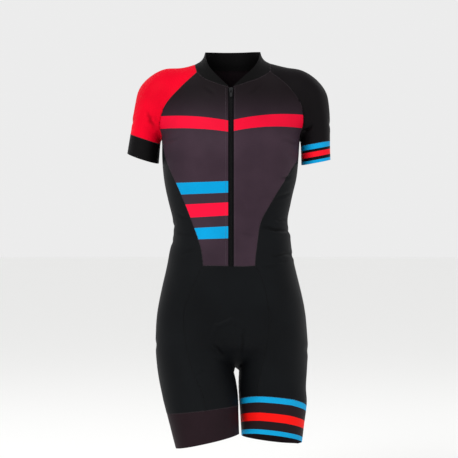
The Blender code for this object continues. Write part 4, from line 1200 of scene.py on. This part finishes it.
# ================================================================ zip
@dataclass
class Zip:
    """The front zip: coil teeth, slider, pull tab and the topstitching beside it."""

    coil_finish: HardFinish
    metal_finish: HardFinish
    thread_finish: ThreadFinish
    right_aside: float = 5.0
    left_aside: float = 2.2
    edge_reach: float = 7.5
    row_aside: float = 1.35
    nearness: float = 0.05      # added to a distance before it weighs a point, mm
    stitch: StitchSizes = StitchSizes(pitch=2.8, length=2.3, thread=0.36, lift=0.08)
    tooth: StitchSizes = StitchSizes(pitch=1.5, length=2.9, thread=1.15, turn=82.0, lift=-0.55)

    def coil_path(self) -> tuple[np.ndarray, np.ndarray]:
        """Middle line of the coil's solid, and its outward normals."""
        points, _ = mesh_arrays(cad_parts["zip_coil"].data)
        points = np.unique(points.round(2), axis=0)
        right, left = points[points[:, 0] < 0], points[points[:, 0] > 0]
        right, left = right[np.argsort(-right[:, 2])], left[np.argsort(-left[:, 2])]
        rows = (right + left) / 2
        outer = []
        for first, second in zip(rows[::2], rows[1::2]):
            outer.append(first if first[1] < second[1] else second)
        path = np.array(outer)
        path = path[np.argsort(-path[:, 2])]
        slope = np.gradient(path, axis=0)
        normals = np.cross(slope, np.array([1.0, 0.0, 0.0]))
        normals *= -np.sign(normals[:, 1:2])
        return path, normals / np.linalg.norm(normals, axis=1, keepdims=True)

    def build_teeth(self) -> bpy.types.Object:
        """Make both rows of interlocked coil teeth."""
        path, normals = self.coil_path()
        meshes = []
        for side, turn in ((-1.0, 1.0), (1.0, -1.0)):
            sizes = StitchSizes(self.tooth.pitch, self.tooth.length, self.tooth.thread,
                                self.tooth.turn * turn, self.row_aside * side, self.tooth.lift)
            start = path.copy()
            step = (path[1] - path[0]) / np.linalg.norm(path[1] - path[0])
            start[0] = path[0] + step * (0.0 if side < 0 else self.tooth.pitch / 2)
            meshes.append(StitchRow(f"coil_row_{'a' if side < 0 else 'b'}", sizes, self.coil_finish)
                          .build([(start, normals)]))
        piece = join_meshes("zip_teeth", meshes)
        piece.data.shade_smooth()
        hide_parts("zip_coil")
        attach(piece, SUIT)
        return piece

    def build_topstitch(self, panels: dict[str, Panel]) -> bpy.types.Object:
        """Make the stitched line beside each edge of the zip."""
        meshes = []
        for node, side, aside in (("front_right", -1.0, self.right_aside),
                                  ("front_left", 1.0, self.left_aside)):
            surface = panels[node].surface
            loop = max(surface.loops, key=len)
            edge = surface.points[loop]
            edge = edge[np.abs(edge[:, 0]) < self.edge_reach]
            edge = edge[np.argsort(-edge[:, 2])][2:-2]
            target = edge + np.array([side * aside, 0.0, 0.0])
            tree = search_tree(surface.points)
            path, normals = [], []
            for point in target:
                found = tree.find_n(point, 3)
                weights = np.array([1.0 / (distance + self.nearness) for _, _, distance in found])
                rows = [index for _, index, _ in found]
                normal = weights @ surface.normals[rows]
                normal /= np.linalg.norm(normal)
                base = weights @ surface.points[rows] / weights.sum()
                path.append(point + normal * float(np.dot(base - point, normal)))
                normals.append(normal)
            meshes.append(StitchRow(f"topstitch_{node}", self.stitch, self.thread_finish)
                          .build([(np.array(path), np.array(normals))]))
        piece = join_meshes("zip_topstitch", meshes)
        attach(piece, SUIT)
        return piece

    def dress_metal(self) -> None:
        """Give the slider and the pull tab their enamel."""
        material = self.metal_finish.material()
        for node in ("zip_slider", "zip_pull"):
            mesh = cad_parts[node].data
            mesh.materials.clear()
            mesh.materials.append(material)


# ================================================================ seat pad
@dataclass
class SeatPad:
    """The foam pad inside the crotch, faced with brushed knit, with two pressed channels."""

    finish: KnitFinish
    middle: tuple[float, float] = (9.0, 10.0)
    bend_centre: tuple[float, float, float] = (9.0, 10.0, -560.0)
    cloth_room: float = 2.0
    channel_at: float = 17.0
    channel_depth: float = 1.6
    channel_width: float = 4.0

    def build(self) -> bpy.types.Object:
        """Make the pad from its solid."""
        shell = solid_shell("seat_pad")
        merge_triangles(shell)
        mesh = bpy.data.meshes.new("pad")
        shell.to_mesh(mesh)
        shell.free()
        panel = Panel("seat_pad", "pad_foam", self.finish, (0.1, 0.3), 0.02, self.middle, 40.0)
        panel.surface = Surface(subdivided("pad_fine", mesh, panel.levels))
        points, normals = panel.surface.points, panel.surface.normals
        away = points - np.array(self.bend_centre)
        outward = np.sum(normals * away, axis=1) / np.linalg.norm(away, axis=1)
        beside = np.abs(np.abs(points[:, 0] - self.middle[0]) - self.channel_at)
        channels = self.channel_depth * np.exp(-(beside / self.channel_width) ** 2)
        panel.surface.move(-channels * ramp(-outward, 0.0, 0.6) - self.cloth_room * ramp(outward, 0.0, 0.5))
        panel.map_knit()
        piece = new_object("seat_pad_foam", panel.surface.mesh)
        piece.data.materials.clear()
        piece.data.materials.append(self.finish.material())
        piece.data.shade_smooth()
        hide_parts("seat_pad")
        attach(piece, SUIT)
        return piece


# ================================================================ the suit
@dataclass(frozen=True)
class Print:
    """The bars printed on the fronts: their edge lines in the photograph's pixels, from the top."""

    right: tuple[tuple[tuple[float, float], ...], ...] = (
        ((160.5, 116.1), (195.7, 116.1), (228.6, 120.4)),
        ((160.5, 128.5), (204.9, 128.8), (228.6, 131.4)),
        ((175.6, 182.7), (227.9, 180.8)),
        ((180.4, 194.5), (227.9, 192.6)),
        ((184.9, 204.1), (228.2, 201.9)),
        ((189.6, 217.5), (228.2, 215.3)),
        ((193.8, 227.7), (228.9, 225.8)),
        ((197.6, 238.9), (228.5, 237.9)),
    )
    left: tuple[tuple[tuple[float, float], ...], ...] = (
        ((232.4, 120.0), (255.4, 115.5), (278.4, 114.0), (304.3, 114.6)),
        ((232.4, 131.0), (263.2, 127.0), (280.0, 126.0), (305.3, 128.5)),
    )
    margin_px: float = 25.0
    overrun_px: float = 8.0

    def height(self, across: np.ndarray, line: tuple[tuple[float, float], ...]) -> np.ndarray:
        """Height of an edge line, a smooth bow through its points, at each place across."""
        x, y = np.array(line).T
        bow = np.polyfit(x, y, min(len(line) - 1, 2))
        return np.polyval(bow, np.clip(across, x.min() - self.overrun_px, x.max() + self.overrun_px))

    def values(self, places: np.ndarray, lines: tuple) -> np.ndarray:
        """How many edge lines each place is past, with a fraction in between.

        Args:
            places: pixels across and down.
            lines: edge lines, from the top.

        Returns:
            One value for each place.
        """
        heights = [self.height(places[:, 0], line) for line in lines]
        heights = [heights[0] - self.margin_px, *heights, heights[-1] + self.margin_px]
        past = np.zeros(len(places))
        for above, below in zip(heights, heights[1:]):
            past += np.clip((places[:, 1] - above) / (below - above), 0.0, 1.0)
        return np.minimum(past, len(lines) + 0.9)


@dataclass(frozen=True)
class BandStripes:
    """Bars knitted round an elastic band: shares of its height where each bar ends, from the top."""

    shares: tuple[float, ...]

    def values(self, surface: Surface) -> np.ndarray:
        """How many bar ends each point of the band is past, with a fraction in between."""
        loops = sorted(surface.loops, key=lambda loop: -surface.points[loop][:, 2].mean())
        away = []
        for loop in (loops[0], loops[-1]):
            tree = search_tree(surface.points[loop])
            away.append(np.array([tree.find(point)[2] for point in surface.points]))
        down = away[0] / np.maximum(away[0] + away[1], TINY)
        shares = (0.0, *self.shares, 1.0)
        return np.interp(down, shares, range(len(shares)))


FOLD_ROWS = {
    Facing.FRONT: (
        # waist, on the wearer's left, where the trunk leans
        (((265.5, 226.3), (277.0, 228.6), (288.5, 229.2)), 3.6, 3.4),
        (((274.7, 255.0), (286.0, 253.6), (297.0, 254.0)), 2.8, 3.2),
        (((278.0, 260.5), (288.0, 260.0)), 1.1, 3.2),
        (((263.0, 266.6), (278.0, 266.0)), 1.1, 3.2),
        (((282.0, 179.5), (292.5, 177.0)), 1.7, 3.6),
        (((279.0, 197.0), (291.5, 194.7)), 1.7, 3.6),
        (((273.0, 218.0), (288.0, 220.5)), 1.8, 3.6),
        (((243.0, 232.0), (258.0, 234.0)), 0.8, 4.0),
        # waist, on the wearer's right
        (((176.0, 214.0), (187.0, 219.0)), 1.1, 4.0),
        (((176.5, 232.0), (190.0, 236.0)), 1.3, 4.0),
        (((180.0, 252.0), (194.0, 250.0)), 1.0, 4.0),
        # armpits
        (((145.0, 112.0), (149.5, 122.0), (155.5, 130.0)), 2.4, 4.0),
        (((151.0, 117.0), (158.0, 124.5)), 0.9, 3.2),
        (((311.5, 127.0), (301.5, 134.0)), 3.0, 3.4),
        (((163.5, 141.0), (178.0, 137.5)), 0.9, 4.4),
        (((298.5, 144.0), (284.0, 140.0)), 0.9, 4.4),
        # shoulders and neck
        (((204.0, 84.0), (214.0, 92.0)), 0.9, 4.2),
        (((262.0, 83.0), (250.0, 92.0)), 0.9, 4.2),
        # crotch, and the upper edge of the pad under the cloth
        (((212.8, 346.5), (218.0, 352.0), (223.0, 358.0)), 1.8, 3.0),
        (((244.7, 328.0), (243.4, 341.0), (241.0, 357.0)), 1.8, 3.0),
        (((208.0, 341.0), (214.0, 327.0), (230.0, 321.0), (243.0, 323.6), (248.5, 329.0)), -1.5, 3.6, 0.5),
        (((196.0, 372.0), (208.0, 369.0)), 0.8, 4.0),
    ),
    Facing.BACK: (
        # small of the back
        (((-72.0, -350.0), (-20.0, -359.0), (36.0, -353.0)), 1.9, 5.5),
        (((62.0, -371.0), (15.0, -380.0), (-48.0, -376.0)), 1.6, 5.5),
        (((-86.0, -328.0), (-42.0, -335.0)), 1.3, 5.0),
        (((92.0, -396.0), (40.0, -404.0)), 1.6, 5.0),
        # back armpits, seat and thighs
        (((-104.0, -112.0), (-84.0, -160.0)), 1.8, 5.5),
        (((106.0, -110.0), (88.0, -156.0)), 1.7, 5.5),
        (((-118.0, -622.0), (-74.0, -640.0), (-30.0, -636.0)), 2.4, 6.0),
        (((130.0, -624.0), (88.0, -644.0), (46.0, -638.0)), 2.4, 6.0),
        (((8.0, -548.0), (9.0, -612.0)), 1.5, 6.5),
        (((-98.0, -692.0), (-58.0, -701.0)), 1.2, 5.0),
        (((66.0, -702.0), (118.0, -691.0)), 1.4, 5.0),
    ),
    Facing.RIGHT: (
        # sides
        (((-38.0, -345.0), (0.0, -353.0), (40.0, -347.0)), 1.5, 5.0),
        (((-18.0, -379.0), (32.0, -385.0)), 1.3, 5.0),
        (((-22.0, -598.0), (30.0, -616.0)), 1.2, 7.0),
        (((-12.0, -118.0), (30.0, -131.0)), 1.2, 5.0),
    ),
    Facing.LEFT: (
        (((-36.0, -352.0), (-8.0, -358.0), (36.0, -352.0)), 2.0, 4.8),
        (((-24.0, -408.0), (14.0, -411.0)), 1.8, 4.6),
        (((-14.0, -612.0), (36.0, -624.0)), 1.2, 7.0),
        (((-8.0, -124.0), (32.0, -138.0)), 1.2, 5.0),
    ),
}
FOLDS = tuple(Fold(facing, *row) for facing, rows in FOLD_ROWS.items() for row in rows)


@dataclass
class Skinsuit:
    """The whole suit's cloth: panels, prints, folds and seams."""

    finishes: Finishes
    view: PhotoView
    print_lines: Print = Print()
    cuff_stripes: BandStripes = BandStripes((0.277, 0.398, 0.681, 0.838))
    leg_stripes: BandStripes = BandStripes((0.150, 0.430, 0.645, 0.875))
    panels: dict[str, Panel] = field(init=False)
    relief: Relief = field(init=False)
    seams: list[SeamLine] = field(init=False)

    def list_panels(self) -> list[Panel]:
        """Every cut panel, with the size of its cut in metres."""
        f = self.finishes
        return [
            Panel("front_right", "front_knit", f.front, (0.15, 0.39), 0.0426),
            Panel("front_left", "front_knit", f.front, (0.15, 0.39), 0.0426),
            Panel("back", "back_knit", f.back, (0.29, 0.40), 0.088),
            Panel("side_right", "black_knit", f.black, (0.20, 0.58), 0.097),
            Panel("side_left", "black_knit", f.black, (0.20, 0.58), 0.097),
            Panel("sleeve_right", "red_sleeve_knit", f.red, (0.30, 0.16), 0.036,
                  (-178.0, 14.0), 45.0),
            Panel("sleeve_left", "dark_sleeve_knit", f.dark, (0.30, 0.16), 0.036,
                  (182.0, 14.0), 45.0),
            Panel("cuff_right", "black_cuff_band", f.cuff_black, (0.24, 0.04), 0.009,
                  (-188.0, 19.0), 38.0, 1.6),
            Panel("cuff_left", "striped_cuff_band", f.cuff_striped, (0.24, 0.04), 0.009,
                  (182.5, 21.0), 38.0, 1.6),
            Panel("collar", "collar_knit", f.collar, (0.42, 0.045), 0.0127, (4.0, 10.0), 62.0, 1.8),
            Panel("shorts_front", "black_knit", f.black, (0.24, 0.32), 0.049),
            Panel("seat", "black_knit", f.black, (0.34, 0.36), 0.081),
            Panel("leg_band_right", "plum_leg_band", f.band_plum, (0.44, 0.07), 0.028,
                  (-63.0, -34.0), 70.0, 1.6),
            Panel("leg_band_left", "striped_leg_band", f.band_striped, (0.44, 0.07), 0.03,
                  (92.0, 14.0), 70.0, 1.6),
        ]

    def build(self) -> None:
        """Make, fold and finish every panel."""
        listed = self.list_panels()
        self.panels = {panel.node: panel for panel in listed}
        corners = corner_tree(listed)
        for panel in listed:
            surface = panel.refine(corners)
            LOG.info("%s: %d points, %d edge loops", panel.node, len(surface.points),
                     len(surface.loops))
        self.seams = SeamFinder(listed).find()
        self.relief = Relief(FOLDS, self.seams)
        self.relief.prepare(listed, self.view)
        self.stripe()
        for panel in listed:
            moved = self.relief.offsets(panel.surface.points, panel.surface.normals)
            # paint shade into the troughs and grooves: the deeper a point is pushed in, the darker its
            # colour
            panel.write(PAINTED_SHADE, np.clip(-moved / self.relief.deepest, 0.0, 1.0))
            panel.surface.move(moved)
        for panel in listed:
            panel.finish_piece()

    def stripe(self) -> None:
        """Write where the printed and knitted bars lie."""
        for node, lines in (("front_right", self.print_lines.right),
                            ("front_left", self.print_lines.left)):
            places = self.view.project(self.panels[node].surface.points)
            self.panels[node].write(STRIPE, self.print_lines.values(places, lines))
        for node, stripes in (("cuff_left", self.cuff_stripes), ("leg_band_left", self.leg_stripes)):
            self.panels[node].write(STRIPE, stripes.values(self.panels[node].surface))


def main() -> None:
    """Build the suit, its zip and its pad, and the studio around them."""
    logging.basicConfig(level=logging.INFO, format="%(message)s", stream=sys.stdout)
    finishes = Finishes()
    view = PhotoView()
    view.make_camera()
    Studio().build()
    suit = Skinsuit(finishes, view)
    suit.build()
    SeamStitching(finishes.seam_thread, finishes.black_thread).build(suit.seams, suit.relief)
    zip_parts = Zip(finishes.coil, finishes.metal, finishes.zip_thread)
    zip_parts.build_teeth()
    zip_parts.build_topstitch(suit.panels)
    zip_parts.dress_metal()
    tape = Panel("zip_tape", "zip_tape_weave", finishes.tape, (0.035, 0.37), 0.0115, thickness=0.8,
                 levels=1)
    tape.refine(corner_tree([tape]))
    tape.finish_piece()
    SeatPad(finishes.pad).build()
    LOG.info("sizes written")


if __name__ == "__main__":
    main()
